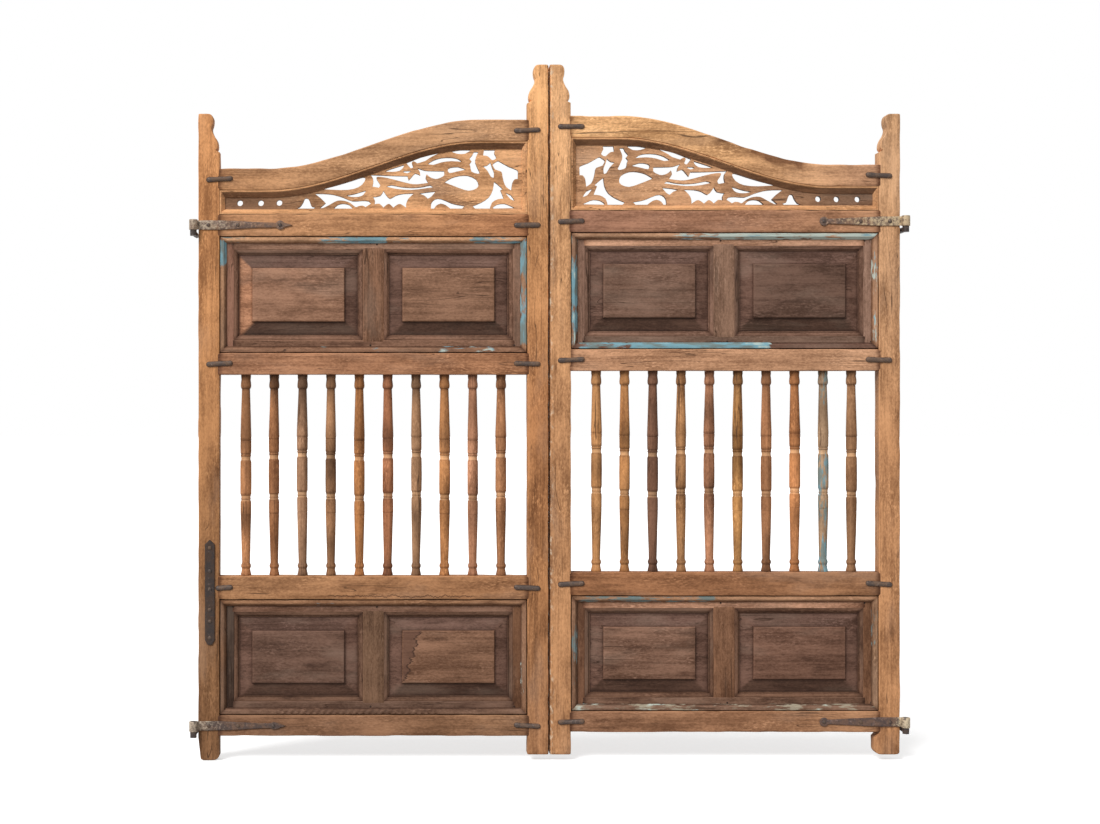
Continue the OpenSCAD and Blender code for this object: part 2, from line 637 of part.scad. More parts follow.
// Cross section of a raised panel over a clear opening w: tongue, bevel, step and field
function panel_section(w) = let (edge = w / 2 + tongue_l, y0 = y_groove - tongue_t / 2,
    y1 = y0 - panel_bevel_rise, y2 = y1 - panel_step, field = w / 2 - panel_bevel) [
    [-edge, y_groove + tongue_t / 2], [edge, y_groove + tongue_t / 2], [edge, y0], [w / 2 - 1, y0],
    [field, y1], [field - panel_step / 2, y2], [panel_step / 2 - field, y2], [-field, y1],
    [1 - w / 2, y0], [-edge, y0]];

module raised_panel(x, z, w, h) {
    translate([x + w / 2, 0, z + h / 2]) intersection() {
        translate([0, 0, -h]) linear_extrude(2 * h) polygon(panel_section(w));
        translate([-w, 0, 0]) rotate([90, 0, 90]) linear_extrude(2 * w)
            polygon([for (p = panel_section(h)) [p[1], p[0]]]);
    }
}

module panels(z, h) {
    for (x = [x_panel_in, x_panel_out - panel_w])
        raised_panel(x, z + panel_rail_h, panel_w, h - 2 * panel_rail_h);
}

module upper_panels(side) {
    color(DARK_OAK) on_leaf(side) panels(z_upper_panel(side), upper_panel_h);
}

module lower_panels(side) {
    color(DARK_OAK) on_leaf(side) panels(z_lower_panel(side), lower_panel_h);
}

// Staples across the joints of rails and stiles, as [x, z, length]. The one beside the
// repair plate is short and starts at the plate's edge.
x_plate = x_hinge + stile_w / 2 - 3;
short_staple_l = 46;
function staples_of(side) = concat(
    [for (k = [0:4]) [x_meeting, rail_mid(side, k, x_meeting), staple_l]],
    [for (k = [2, 4]) [x_hinge, rail_mid(side, k, x_hinge), staple_l]],
    [side == "left"
        ? [x_plate - plate_w / 2 - 1 - short_staple_l / 2, rail_mid(side, 1, x_hinge), short_staple_l]
        : [x_hinge, rail_mid(side, 1, x_hinge), staple_l]]);

module staple(x, z, l) {
    reach = l / 2 - staple_r;
    intersection() {
        translate([x, y_front + staple_r / 5, z]) {
            translate([-reach, 0, 0]) rotate([0, 90, 0]) cylinder(h = 2 * reach, r = staple_r);
            for (end = [-1, 1]) translate([end * reach, 0, 0]) sphere(r = staple_r);
        }
        block(x - l, x + l, y_front - 2 * staple_r, y_front, z - l, z + l);
    }
    for (end = [-1, 1]) peg(x + end * reach, z, prong_r, peg_l - 0.5);
}

module staple_holes(side) {
    for (s = staples_of(side)) for (end = [-1, 1])
        peg(s[0] + end * (s[2] / 2 - staple_r), s[1], prong_r + peg_fit, peg_l);
}

module staples(side) {
    color(IRON) on_leaf(side) for (s = staples_of(side)) staple(s[0], s[1], s[2]);
}

// Straps: a tapered band with a rolled eye at the pin and a forged end at its tip
function upper_strap_l(side) = side == "left" ? left_upper_strap_l : right_strap_l;
function lower_strap_l(side) = side == "left" ? left_lower_strap_l : right_strap_l;
function strap_z(side, k) = rail_mid(side, k, x_hinge);
end_r = 12;
tip_l = 20;
nail_step = 48;

// Length of the point beyond a strap's round or spear-shaped end
function strap_point(side) = side == "left" ? tip_l : 0;

// Where the nails of a strap of length l go: stile, rail and forged end
function strap_nails(side, l) = [x_hinge + stile_w / 2, x_hinge - nail_step,
    x_pin - l + strap_point(side) + end_r];

module strap_plate() {
    upright(y_front - strap_t, y_front) children();
}

module strap(side, l, z) {
    neck = x_pin - l + strap_point(side) + 2 * end_r;
    difference() {
        union() {
            translate([0, 0, z]) strap_plate() polygon([
                [x_pin, strap_h / 2 - 1], [x_hinge, strap_h / 2 - 1], [neck, strap_neck_h / 2],
                [neck - end_r, strap_neck_h / 2], [neck - end_r, -strap_neck_h / 2],
                [neck, -strap_neck_h / 2], [x_hinge, 1 - strap_h / 2], [x_pin, 1 - strap_h / 2]]);
            translate([x_pin, y_pin, z - strap_h / 2]) cylinder(h = strap_h, r = eye_r);
            translate([0, 0, z]) children();
        }
        translate([x_pin, y_pin, z - strap_h]) cylinder(h = 2 * strap_h, r = pin_r + hinge_fit);
        for (x = strap_nails(side, l)) translate([0, -strap_t, 0])
            peg(x, z, nail_shank_r + peg_fit, strap_t);
    }
}

// Forged ends, with the strap's tip at x
module round_end(x) {
    strap_plate() translate([x + end_r, 0]) circle(r = end_r);
}

module pointed_round_end(x) {
    round_end(x + tip_l);
    strap_plate() polygon([[x + tip_l + 2, end_r / 2], [x + tip_l / 2, end_r / 3], [x, 0],
        [x + tip_l / 2, -end_r / 3], [x + tip_l + 2, -end_r / 2]]);
}

module spear_end(x) {
    base = x + tip_l + 2 * end_r + 2;
    widest = x + tip_l + end_r;
    strap_plate() polygon([[base, end_r / 3], [widest, end_r - 2], [x + tip_l, end_r - 4], [x, 0],
        [x + tip_l, 4 - end_r], [widest, 2 - end_r], [base, -end_r / 3]]);
}

module upper_strap(side) {
    l = upper_strap_l(side);
    color(IRON) on_leaf(side) strap(side, l, strap_z(side, 3)) {
        if (side == "left") pointed_round_end(x_pin - l);
        else round_end(x_pin - l);
    }
}

module lower_strap(side) {
    l = lower_strap_l(side);
    color(IRON) on_leaf(side) strap(side, l, strap_z(side, 0)) {
        if (side == "left") spear_end(x_pin - l);
        else round_end(x_pin - l);
    }
}

// Nails of the straps and the repair plate, as [x, z]
plate_nail_heights = [18, 61, 91, 145, 192, 252];
function nails_of(side) = concat(
    [for (x = strap_nails(side, upper_strap_l(side))) [x, strap_z(side, 3)]],
    [for (x = strap_nails(side, lower_strap_l(side))) [x, strap_z(side, 0)]],
    side == "left" ? [for (h = plate_nail_heights) [x_plate, plate_z + h]] : []);

module nail_holes(side) {
    for (p = nails_of(side)) peg(p[0], p[1], nail_shank_r + peg_fit, peg_l);
}

// Nail with a domed head on the strap's front
module nails(side) {
    color(IRON) on_leaf(side) for (p = nails_of(side))
        translate([p[0], y_front - strap_t, p[1]]) rotate([90, 0, 0]) rotate_extrude()
            polygon(concat([[0, 0.5 - strap_t - peg_l], [nail_shank_r, 2.5 - strap_t - peg_l],
                [nail_shank_r, 0]], [for (i = [0:5])
                [nail_head_r * cos(18 * i), nail_head_r / 2 * sin(18 * i)]]));
}

// Repair plate with a pointed top and a foot with cut corners
module left_repair_plate() {
    half = plate_w / 2;
    shoulder = plate_z + plate_l - plate_point;
    color(IRON) on_leaf("left") difference() {
        strap_plate() polygon([[x_plate - plate_foot_w / 2, plate_z], [x_plate + plate_foot_w / 2, plate_z],
            [x_plate + half, plate_z + plate_point], [x_plate + half, shoulder], [x_plate, plate_z + plate_l],
            [x_plate - half, shoulder], [x_plate - half, plate_z + plate_point]]);
        for (h = plate_nail_heights) translate([0, -strap_t, 0])
            peg(x_plate, plate_z + h, nail_shank_r + peg_fit, strap_t);
    }
}

// Pintles: a pin up through each strap's eye, a shoulder under it and a spike to the rear
shoulder_r = 8.5;
shoulder_h = 15;
arm_r = 7;
point_l = 8;

module pintle(z) {
    top = z - strap_h / 2 - hinge_fit;
    translate([x_pin, y_pin, top - shoulder_h]) cylinder(h = shoulder_h, r = shoulder_r);
    translate([x_pin, y_pin, top - 1]) cylinder(h = strap_h + hinge_fit + 1, r = pin_r);
    translate([x_pin, y_pin, top - shoulder_h / 2]) rotate([-90, 0, 0]) {
        cylinder(h = y_back - y_pin, r = arm_r);
        cylinder(h = y_back - y_pin + spike_l - point_l, r = spike_r);
        translate([0, 0, y_back - y_pin + spike_l - point_l])
            cylinder(h = point_l, r1 = spike_r, r2 = spike_r / 3);
    }
}

module wall_pintles() {
    color(IRON) for (side = SIDES) for (k = [0, 3]) on_leaf(side) pintle(strap_z(side, k));
}

for (side = SIDES) {
    hinge_stile(side);
    meeting_stile(side);
    top_rail(side);
    frieze_rail(side);
    middle_rail(side);
    lower_rail(side);
    bottom_rail(side);
    fretwork(side);
    fretwork_bead(side);
    upper_moulding(side);
    lower_moulding(side);
    upper_panel_frame(side);
    lower_panel_frame(side);
    upper_panels(side);
    lower_panels(side);
    upper_strap(side);
    lower_strap(side);
    staples(side);
    nails(side);
    for (i = [1:SPINDLES])
        spindle(side, i);
}
left_repair_plate();
wall_pintles();
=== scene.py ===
"""Looks of a pair of old carved gate leaves: worn boards, raised panels, turned spindles, forged iron.

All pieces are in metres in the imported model's frame, with the front towards -Y and +Z up.
A leaf's boards are worked out on the right of the seam, and the left leaf's are turned over in x.
"""
from functools import partialmethod

import bpy
import numpy as np
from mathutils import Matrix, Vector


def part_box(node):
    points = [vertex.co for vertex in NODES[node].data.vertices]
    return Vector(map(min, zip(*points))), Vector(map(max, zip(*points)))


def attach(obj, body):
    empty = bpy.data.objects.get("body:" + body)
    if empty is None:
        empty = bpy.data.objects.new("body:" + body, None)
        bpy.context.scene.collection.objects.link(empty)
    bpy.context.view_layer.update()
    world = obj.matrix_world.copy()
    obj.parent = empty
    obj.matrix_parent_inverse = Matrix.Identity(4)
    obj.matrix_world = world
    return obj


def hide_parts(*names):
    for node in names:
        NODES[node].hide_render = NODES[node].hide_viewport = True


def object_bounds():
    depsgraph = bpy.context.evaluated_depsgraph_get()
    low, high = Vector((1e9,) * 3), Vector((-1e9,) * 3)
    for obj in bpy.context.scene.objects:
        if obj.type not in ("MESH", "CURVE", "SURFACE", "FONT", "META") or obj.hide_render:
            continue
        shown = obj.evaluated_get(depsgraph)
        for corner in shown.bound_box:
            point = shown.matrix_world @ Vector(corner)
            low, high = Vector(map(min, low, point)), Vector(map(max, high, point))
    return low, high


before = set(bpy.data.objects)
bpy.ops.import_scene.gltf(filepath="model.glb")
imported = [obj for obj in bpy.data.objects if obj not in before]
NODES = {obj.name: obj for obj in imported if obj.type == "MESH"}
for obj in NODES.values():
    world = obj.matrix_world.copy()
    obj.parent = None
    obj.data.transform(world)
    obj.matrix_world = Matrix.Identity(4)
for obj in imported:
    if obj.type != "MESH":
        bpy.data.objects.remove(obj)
CAD_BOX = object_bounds()
MM = 0.001
SIGN = {"left": -1, "right": 1}

# Sizes of the leaf's joinery that its boxes don't give
STILE_W = 56 * MM
SWEEP_RUN = 128 * MM
TOP_RAIL_H = 57 * MM
PANEL_STILE_W = 50 * MM
PANEL_RAIL_H = 47 * MM
MUNTIN_W = 82 * MM
STICKING_W = 13 * MM
BURIED = 6 * MM
STILE_STEP = 7 * MM
ALONG_STEPS = 110
GNAWED = 2.2 * MM

# Sizes of the iron
STRAP_H = 27 * MM
STRAP_THICK = 4 * MM
STRAP_NECK_H = 13 * MM
STRAP_END_R = 12 * MM
STRAP_TIP = 20 * MM
EYE_R = 11.5 * MM
EYE_BORE_R = 6.3 * MM
EYE_ROUND = 1.5 * MM
EYE_GRAIN_R = 20 * MM
EYE_DENT = 0.9 * MM
STAPLE_L = 70 * MM
SHORT_STAPLE_L = 46 * MM
STAPLE_R = 7.5 * MM
STAPLE_BEND = 1.5 * MM
PLATE_POINT = 12 * MM
PLATE_FOOT_W = 12 * MM
POINT_HALF = 0.8 * MM
STRAP_TINTS = {
    ("left", "upper"): (124, 98, 82), ("left", "lower"): (98, 78, 68),
    ("right", "upper"): (128, 102, 86), ("right", "lower"): (98, 78, 70),
}
# Lime on the straps: distances from the seam where it starts and where it is full, its cover and colour
STRAP_LIME = {
    ("left", "upper"): (0.70, 0.97, 0.5, (180, 162, 140)),
    ("left", "lower"): (0.80, 0.95, 0.5, (186, 170, 150)),
    ("right", "upper"): (0.6, 1.0, 0.52, (198, 176, 142)),
    ("right", "lower"): (0.87, 0.93, 0.52, (206, 188, 158)),
}
LIME_SPOTS = 0.24
STAPLE_TINT = (98, 81, 71)
PLATE_TINT = (60, 47, 41)
PEG_TINT = (52, 38, 31)


def add_object(name, data):
    added = bpy.data.objects.new(name, data)
    bpy.context.scene.collection.objects.link(added)
    return added


def colour(red, green, blue):
    """Linear colour of a screen colour given from 0 to 255."""
    share = np.array([red, green, blue]) / 255
    return np.where(share <= 0.04045, share / 12.92, ((share + 0.055) / 1.055) ** 2.4)


# Colours of the boards, from the foot or the seam onwards
BOARD_TINTS = {
    "left_hinge_stile": [(135, 96, 65), (150, 106, 70), (175, 122, 79), (200, 140, 91), (212, 148, 96)],
    "left_meeting_stile": [(170, 121, 84), (172, 119, 77), (178, 121, 78), (204, 146, 97), (236, 176, 120)],
    "right_hinge_stile": [(176, 125, 85), (188, 135, 93), (188, 135, 93), (198, 150, 110), (204, 156, 114)],
    "right_meeting_stile": [(178, 128, 88), (186, 134, 92), (198, 144, 100), (212, 158, 111),
                            (238, 182, 130)],
    "left_top_rail": [(202, 152, 110), (196, 147, 106), (188, 136, 94)],
    "right_top_rail": [(244, 187, 130), (224, 170, 119), (186, 139, 107)],
    "left_frieze_rail": [(176, 120, 82), (190, 137, 95), (188, 136, 96)],
    "right_frieze_rail": [(160, 114, 90), (163, 116, 88), (176, 128, 94)],
    "left_middle_rail": [(176, 123, 87), (172, 121, 88), (168, 119, 88)],
    "right_middle_rail": [(196, 145, 109), (192, 143, 108), (188, 141, 107)],
    "left_lower_rail": [(160, 112, 76), (167, 119, 82), (172, 124, 86)],
    "right_lower_rail": [(154, 105, 71), (152, 104, 71), (160, 114, 80)],
    "left_bottom_rail": [(148, 108, 78), (139, 100, 73), (134, 97, 72)],
    "right_bottom_rail": [(147, 106, 79), (160, 115, 84), (170, 124, 90)],
}
FIELD_TINTS = {
    "left_upper": [(138, 101, 78), (150, 110, 86)],
    "right_upper": [(118, 88, 72), (100, 74, 61)],
    "left_lower": [(131, 95, 73), (106, 78, 64)],
    "right_lower": [(124, 91, 73), (112, 80, 64)],
}
# The bottom bevels face down and are tinted darker: painted shade
BEVEL_TINTS = {"top": (108, 80, 68), "seam": (106, 77, 64), "hinge": (106, 77, 64), "bottom": (82, 58, 46)}
# One panel's bevel by the hinge is paler, partly from wear and partly a painted highlight
WORN_LIT_PANEL = ("left_upper", 1)
WORN_LIT_BEVEL_TINT = (178, 126, 94)
# Panel frames: next to the seam, next to the hinges, top, bottom, muntin, and the sticking round the panels
PANEL_FRAME_TINTS = {
    "left_upper": [(132, 95, 74), (134, 95, 76), (150, 113, 91), (132, 96, 75), (128, 91, 68), (122, 88, 69)],
    "right_upper": [(128, 96, 79), (138, 106, 88), (200, 151, 120), (112, 86, 71), (132, 100, 80),
                    (122, 90, 73)],
    "left_lower": [(106, 72, 50), (58, 40, 30), (134, 98, 78), (106, 79, 64), (110, 81, 61), (104, 75, 58)],
    "right_lower": [(112, 77, 56), (120, 83, 59), (182, 135, 107), (118, 87, 69), (120, 84, 61),
                    (108, 77, 59)],
}
# Mouldings: top, bottom, next to the seam, next to the hinges
# Top strips are tinted lighter against the shadow of the rail above: painted light
MOULDING_TINTS = {
    "left_upper": [(214, 164, 124), (134, 97, 74), (160, 118, 88), (170, 127, 95)],
    "right_upper": [(186, 142, 110), (112, 82, 68), (150, 114, 90), (166, 124, 94)],
    "left_lower": [(158, 115, 84), (118, 88, 70), (140, 102, 76), (126, 90, 65)],
    "right_lower": [(176, 132, 100), (122, 92, 74), (140, 104, 80), (156, 120, 92)],
}
# The fretwork's tints are raised against the shade of its recess: partly painted light
FRET_TINTS = {"left": (214, 159, 112), "right": (200, 150, 110)}
# Darker hinge end of the fretwork below the low rail: painted shadow
FRET_END_TINT = (102, 75, 58)
# Darker walls of the cut-outs: painted shade, with darker end grain
FRET_WALL_TINT = (92, 62, 42)
BEAD_TINT = (206, 152, 106)
# Darker tint of the bead's faces that look down: painted shade
BEAD_SHADE_TINT = (130, 92, 64)
SPINDLE_TINTS = {
    "left": [(154, 106, 72), (168, 118, 88), (172, 118, 74), (158, 118, 86), (154, 101, 70), (174, 116, 70),
             (144, 104, 73), (148, 111, 84), (156, 106, 70), (166, 114, 76)],
    "right": [(174, 124, 79), (174, 121, 75), (120, 84, 64), (172, 124, 82), (164, 114, 84), (182, 130, 78),
              (152, 104, 70), (166, 110, 69), (154, 124, 96), (148, 108, 76)],
}
PAINTED_SPINDLE = "right_spindle_9"
SPINDLE_PAINT = 0.92
SPINDLE_PALENESS = 0.2

# Stretches of paint that are left on the mouldings, as from, to, cover and paleness along each strip
PAINT_SPANS = {
    "left_upper": {"top": [(0.06, 0.205, 0.78, 0.4), (0.36, 0.42, 0.4, 0.3), (0.42, 0.50, 0.92, 0.55),
                           (0.50, 0.61, 0.6, 0.7), (0.777, 0.86, 0.58, 0.3)],
                   "hinge": [(1.29, 1.36, 0.85, 0.5)], "seam": [(1.08, 1.36, 0.76, 0.35)],
                   "bottom": [(0.14, 0.29, 0.4, 0.7), (0.43, 0.46, 0.4, 0.3), (0.57, 0.60, 0.4, 0.3)]},
    "right_upper": {"top": [(0.07, 0.30, 0.22, 0.7), (0.30, 0.44, 0.42, 0.8), (0.44, 0.86, 0.88, 1.2)],
                    "hinge": [(1.08, 1.37, 0.45, 0.9)],
                    "seam": [(1.08, 1.18, 0.62, 0.6), (1.18, 1.32, 0.84, 0.4), (1.32, 1.37, 0.6, 0.9)],
                    "bottom": [(0.07, 0.21, 0.8, 0.3), (0.21, 0.575, 1.2, 0.4)]},
    "left_lower": {"top": [(0.5, 0.62, 0.3, 0.6)], "seam": [(0.13, 0.26, 0.5, 1.0)]},
    "right_lower": {"top": [(0.08, 0.44, 0.58, 0.0)], "hinge": [(0.28, 0.4, 0.5, 0.2)],
                    "seam": [(0.18, 0.42, 0.46, 0.1)], "bottom": [(0.05, 0.9, 0.5, 2.0)]},
}

# Dark weathering on the upper edges of boards, as from, to and strength along each
STAINS = {"right_top_rail": [(0.43, 0.54, 1.2), (0.52, 0.66, 2.2), (0.64, 0.80, 0.6)],
          "left_middle_rail": [(0.10, 0.30, 0.4)], "left_top_rail": [(0.70, 0.86, 0.4)]}

# Stretch of the lower edge where a carved rope is left
ROPE_SPANS = {"left_lower": (0.29, 0.71)}


# Surfaces
HASH_STEPS = np.array([73856093, 19349663, 83492791])


def smooth_noise(points, seed):
    """Value noise from -1 to 1: hashed values at a unit lattice's corners, blended with a cubic ease."""
    cell = np.floor(points).astype(np.int64)
    part = points - cell
    part = part * part * (3 - 2 * part)
    total = np.zeros(points.shape[:-1])
    for corner in np.ndindex(2, 2, 2):
        keys = (cell + np.array(corner)) * HASH_STEPS
        mixed = np.bitwise_xor.reduce(keys, axis=-1) ^ (seed * 40503 + 977)
        mixed = ((mixed ^ (mixed >> 13)) * 1274126177) & 0xFFFFFFFF
        mixed = ((mixed ^ (mixed >> 15)) * 668265263) & 0xFFFFFFFF
        value = ((mixed ^ (mixed >> 16)) & 0xFFFF) / 32767.5 - 1
        weight = np.prod(np.where(np.array(corner) == 1, part, 1 - part), axis=-1)
        total = total + weight * value
    return total


def waves(places, along, across, seed):
    """Noise from 0 to 1 with cells of the given sizes along and across the board."""
    return 0.5 + 0.5 * smooth_noise(places / np.array([along, across, across]), seed)


def node_points(node):
    """Corner points of a CAD node."""
    vertices = NODES[node].data.vertices
    flat = np.empty(len(vertices) * 3, np.float32)
    vertices.foreach_get("co", flat)
    return flat.reshape(-1, 3).astype(float)


def joined(x, y, z):
    """Points from three coordinates, each stretched over the shape of all."""
    return np.stack(np.broadcast_arrays(x, y, z), axis=-1)


def laid(axis, along, across, through):
    """Points of a board that lies along x or stands along z."""
    return joined(along, through, across) if axis == "x" else joined(across, through, along)


def full_turn(steps):
    return np.linspace(0, 2 * np.pi, steps, endpoint=False)


def tube_faces(rings, closed=False):
    """Quads between neighbouring rings, with a cap on each end unless the row of rings is closed."""
    count, around = rings.shape[:2]
    index = np.arange(count * around).reshape(count, around)
    after = np.roll(index, -1, axis=1)
    following = np.roll(index, -1, axis=0) if closed else index[1:]
    after_following = np.roll(after, -1, axis=0) if closed else after[1:]
    rows = len(following)
    quads = np.stack([index[:rows], after[:rows], after_following, following], axis=-1).reshape(-1, 4)
    caps = [] if closed else [index[0, ::-1], index[-1]]
    flat = rings.reshape(-1, 3)
    normal = np.cross(flat[quads[:, 2]] - flat[quads[:, 0]], flat[quads[:, 3]] - flat[quads[:, 1]])
    middle = rings.mean(axis=1)
    away = flat[quads].mean(axis=1) - np.repeat(middle[:rows], around, axis=0)
    if (normal * away).sum() < 0:
        quads = quads[:, ::-1]
        caps = [cap[::-1] for cap in caps]
    return quads, caps


def part(rings, places, seed, tint, edge=0.0, joint=0.0, paint=0.0, pale=0.5, closed=False):
    """One solid: rings of points, their places in the board, colour, edge, dark lines of dirt and painted
    shade, paint and paleness.
    """
    shape = rings.shape[:2]
    quads, caps = tube_faces(rings, closed)
    shift = np.array([seed * 3.17 % 11, seed * 1.73 % 7, seed * 0.91 % 5])
    tints = np.broadcast_to(np.asarray(tint, float), shape + (3,)).reshape(-1, 3)
    values = {"edge": edge, "joint": joint, "paint": paint, "pale": pale}
    return {
        "points": rings.reshape(-1, 3), "quads": quads, "caps": caps,
        "grain": (places + shift).reshape(-1, 3),
        "tint": np.column_stack([tints, np.ones(len(tints))]),
        **{label: np.broadcast_to(value, shape).ravel() for label, value in values.items()},
    }


POINT_VALUES = {
    "grain": ("FLOAT_VECTOR", "vector"), "tint": ("FLOAT_COLOR", "color"),
    **dict.fromkeys(("edge", "joint", "paint", "pale"), ("FLOAT", "value")),
}


def make_piece(name, parts, side, material, slot, *nodes, smooth_deg=35):
    """Joins parts into one object on the side's leaf, which then stands for the given nodes."""
    points = np.concatenate([p["points"] for p in parts]) * np.array([SIGN[side], 1, 1])
    starts = np.cumsum([0] + [len(p["points"]) for p in parts])
    turn = -1 if side == "left" else 1
    faces = []
    for p, start in zip(parts, starts):
        faces += (p["quads"][:, ::turn] + start).tolist()
        faces += [(cap[::turn] + start).tolist() for cap in p["caps"]]
    mesh = bpy.data.meshes.new(name)
    mesh.from_pydata(points.tolist(), [], faces)
    for label, (kind, field) in POINT_VALUES.items():
        values = np.concatenate([p[label] for p in parts])
        mesh.attributes.new(label, kind, "POINT").data.foreach_set(field, values.astype(np.float32).ravel())
    mesh.polygons.foreach_set("use_smooth", np.ones(len(mesh.polygons), bool))
    mesh.set_sharp_from_angle(angle=np.radians(smooth_deg))
    mesh.materials.append(material)
    mesh.update()
    piece = add_object(name, mesh)
    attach(piece, f"{side}_leaf")
    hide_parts(*nodes)


# Dark rail ends by the stiles: dirt in the joints and painted shade in their gaps
JOINT_DARK, JOINT_REACH = 1.3, 6 * MM
# Dark front arris of the gnawed stile by the seam: painted shade of the seam
SEAM_DARK = 1.4
FACE_STOPS = np.array([-0.9, -0.55, 0.0, 0.55, 0.9])
SIDE_STOPS = np.array([-0.6, 0.6])
ARC_STEPS = 3


def section_loop():
    """Loop round a board's cross-section: four flats with a quarter round between each and the next.

    Columns: place across and through the board in shares of its half sizes inside the rounds, the
    direction that the point faces, and 1 on the rounds.
    """
    rows = []
    arc = np.radians(np.linspace(0, 90, ARC_STEPS + 1))
    for quarter in range(4):
        angle = np.radians(90 * quarter - 90)
        facing = np.round([np.cos(angle), np.sin(angle)])
        along = np.array([-facing[1], facing[0]])
        stops = FACE_STOPS if quarter % 2 == 0 else SIDE_STOPS
        flats = facing + stops[:, None] * along
        rows.append(np.column_stack([flats, np.tile(facing, (len(stops), 1)), np.zeros(len(stops))]))
        corner = np.tile(facing + along, (len(arc), 1))
        rows.append(np.column_stack([corner, np.cos(angle + arc), np.sin(angle + arc), np.ones(len(arc))]))
    return np.concatenate(rows)


def tint_along(tints, share):
    """Board colours blended evenly along a share from 0 to 1."""
    stops = np.linspace(0, 1, len(tints))
    channels = np.array([colour(*t) for t in tints]).T
    return np.stack([np.interp(share, stops, channel) for channel in channels], axis=-1)


def board(axis, s, low, high, y0, y1, seed, tints, round_r=2.5 * MM, face_wear=0.6 * MM,
          edge_wear=1.6 * MM, gnawed=0.0, jointed=False, wear_cell=0.03, stained=()):
    """Board along x or z: a rounded rectangle from low(s) to high(s) and y0 to y1, drawn in by noise.

    The rounds lose the most. A gnawed board keeps its low side true, bitten only along the front arris.
    """
    a, b, face_a, face_b, edge = section_loop().T
    s = np.asarray(s, float)
    ease = round_r * np.array([0.0, 0.3, 1.0])
    middle = s[(s > s[0] + 1.2 * round_r) & (s < s[-1] - 1.2 * round_r)]
    along = np.concatenate([s[0] + ease, middle, (s[-1] - ease)[::-1]])
    inset = np.zeros((len(along), 1))
    inset[:2, 0] = inset[-1:-3:-1, 0] = round_r * np.array([1.0, 0.3])
    low, high = [np.interp(along, s, np.broadcast_to(rim, s.shape))[:, None] for rim in (low, high)]
    half, half_d = (high - low) / 2, (y1 - y0) / 2
    r = np.minimum(round_r, 0.9 * np.minimum(half, half_d))
    across = (low + high) / 2 + a * np.maximum(half - inset - r, 0) + face_a * r
    through = (y0 + y1) / 2 + b * np.maximum(half_d - inset - r, 0) + face_b * r
    length = along[:, None]
    places = joined(length, across, through)
    wear = face_wear * waves(places, 4 * wear_cell, wear_cell, seed)
    nibble = waves(places, 1.2 * wear_cell, wear_cell, seed + 1)
    wear = wear + edge * edge_wear * np.clip(2.2 * nibble - 0.8, 0, 1)
    if gnawed:
        low_side = (a < -0.95) & (face_a < -0.2)
        bites = waves(places, 0.011, 0.011, seed + 2) * waves(places, 0.06, 0.06, seed + 3)
        bites = gnawed * np.clip(2.6 * bites - 0.35, 0, 1)
        wear = np.where(low_side, np.where(b < -0.7, bites, 0), wear)
        # Dark front arris by the seam: painted shade of the seam
        seam_line = SEAM_DARK * (low_side & (b < -0.9))
    rings = laid(axis, length, across - face_a * wear, through - face_b * wear)
    share = (length - s[0]) / (s[-1] - s[0])
    reach = np.minimum(length - s[0], s[-1] - length) - (BURIED if jointed else 0)
    # Dark rail ends by the stiles: dirt in the joints and painted shade in their gaps
    joint = JOINT_DARK * np.exp(-np.maximum(reach, 0) / JOINT_REACH) if jointed else 0.0
    if gnawed:
        joint = np.maximum(joint, seam_line)
    for start, end, amount in stained:
        patch = spans_cover([(start, end, amount, 0)], length)[0]
        patch = patch * waves(places, 0.03, 0.012, seed + 4)
        joint = np.maximum(joint, patch * np.clip(2 * a - 0.35, 0, 1))
    return part(rings, places, seed, tint_along(tints, share), edge, joint)


def spans_cover(spans, along):
    """Cover of paint along a strip, eased over each span's ends, and its paleness."""
    cover = np.zeros(along.shape)
    pale = np.full(along.shape, 0.5)
    for start, end, amount, paleness in spans:
        ease = np.clip(np.minimum(along - start, end - along) / 0.02 + 0.5, 0, 1)
        pale = np.where((along > start) & (along < end), paleness, pale)
        cover = np.maximum(cover, amount * ease)
    return cover, pale


MITRE_LAP = 0.1 * MM
MITRE_REACH = 5 * MM
STRIP_CELL = 0.012
STRIP_WEAR = 0.5 * MM
ROPE_PITCH = 17 * MM
ROPE_DEPTH = 1.5 * MM


def mitred_strip(axis, start, end, outer, inward, profile, edges, lines, seed, tint, spans=(), rope=None):
    """Profile carried along a straight edge, each point held back from both ends by its reach from it.

    A rope is cut into the front over a stretch from and to: slanting waves of one pitch, in from the front.
    """
    reach, y = profile.T
    steps = max(3, int((end - start) / (ROPE_PITCH / 6 if rope else STRIP_CELL)))
    share = np.linspace(0, 1, steps)[:, None]
    first = start + reach - MITRE_LAP
    along = first + share * (end - reach + MITRE_LAP - first)
    across = outer + inward * reach
    places = joined(along, across, y)
    through = y + STRIP_WEAR * (0.4 + edges) * waves(places, 0.05, 0.02, seed)
    rings = laid(axis, along, across, through)
    # Darker towards the mitres and along the profile's dark lines: dirt in the joints and painted shade in
    # the gaps
    joint = np.exp(-np.minimum(along - first, end - reach - along) / MITRE_REACH)
    joint = np.maximum(joint, lines)
    if rope:
        cut = 0.5 - 0.5 * np.cos(2 * np.pi * (along + 0.8 * reach) / ROPE_PITCH)
        cut = cut * spans_cover([(*rope, 1.0, 0)], along)[0] * (y < y.min() + 8 * MM)
        rings[..., 1] += ROPE_DEPTH * cut
        joint = np.maximum(joint, 0.6 * cut ** 3)
    return part(rings, places, seed, colour(*tint), edges, joint, *spans_cover(spans, along))


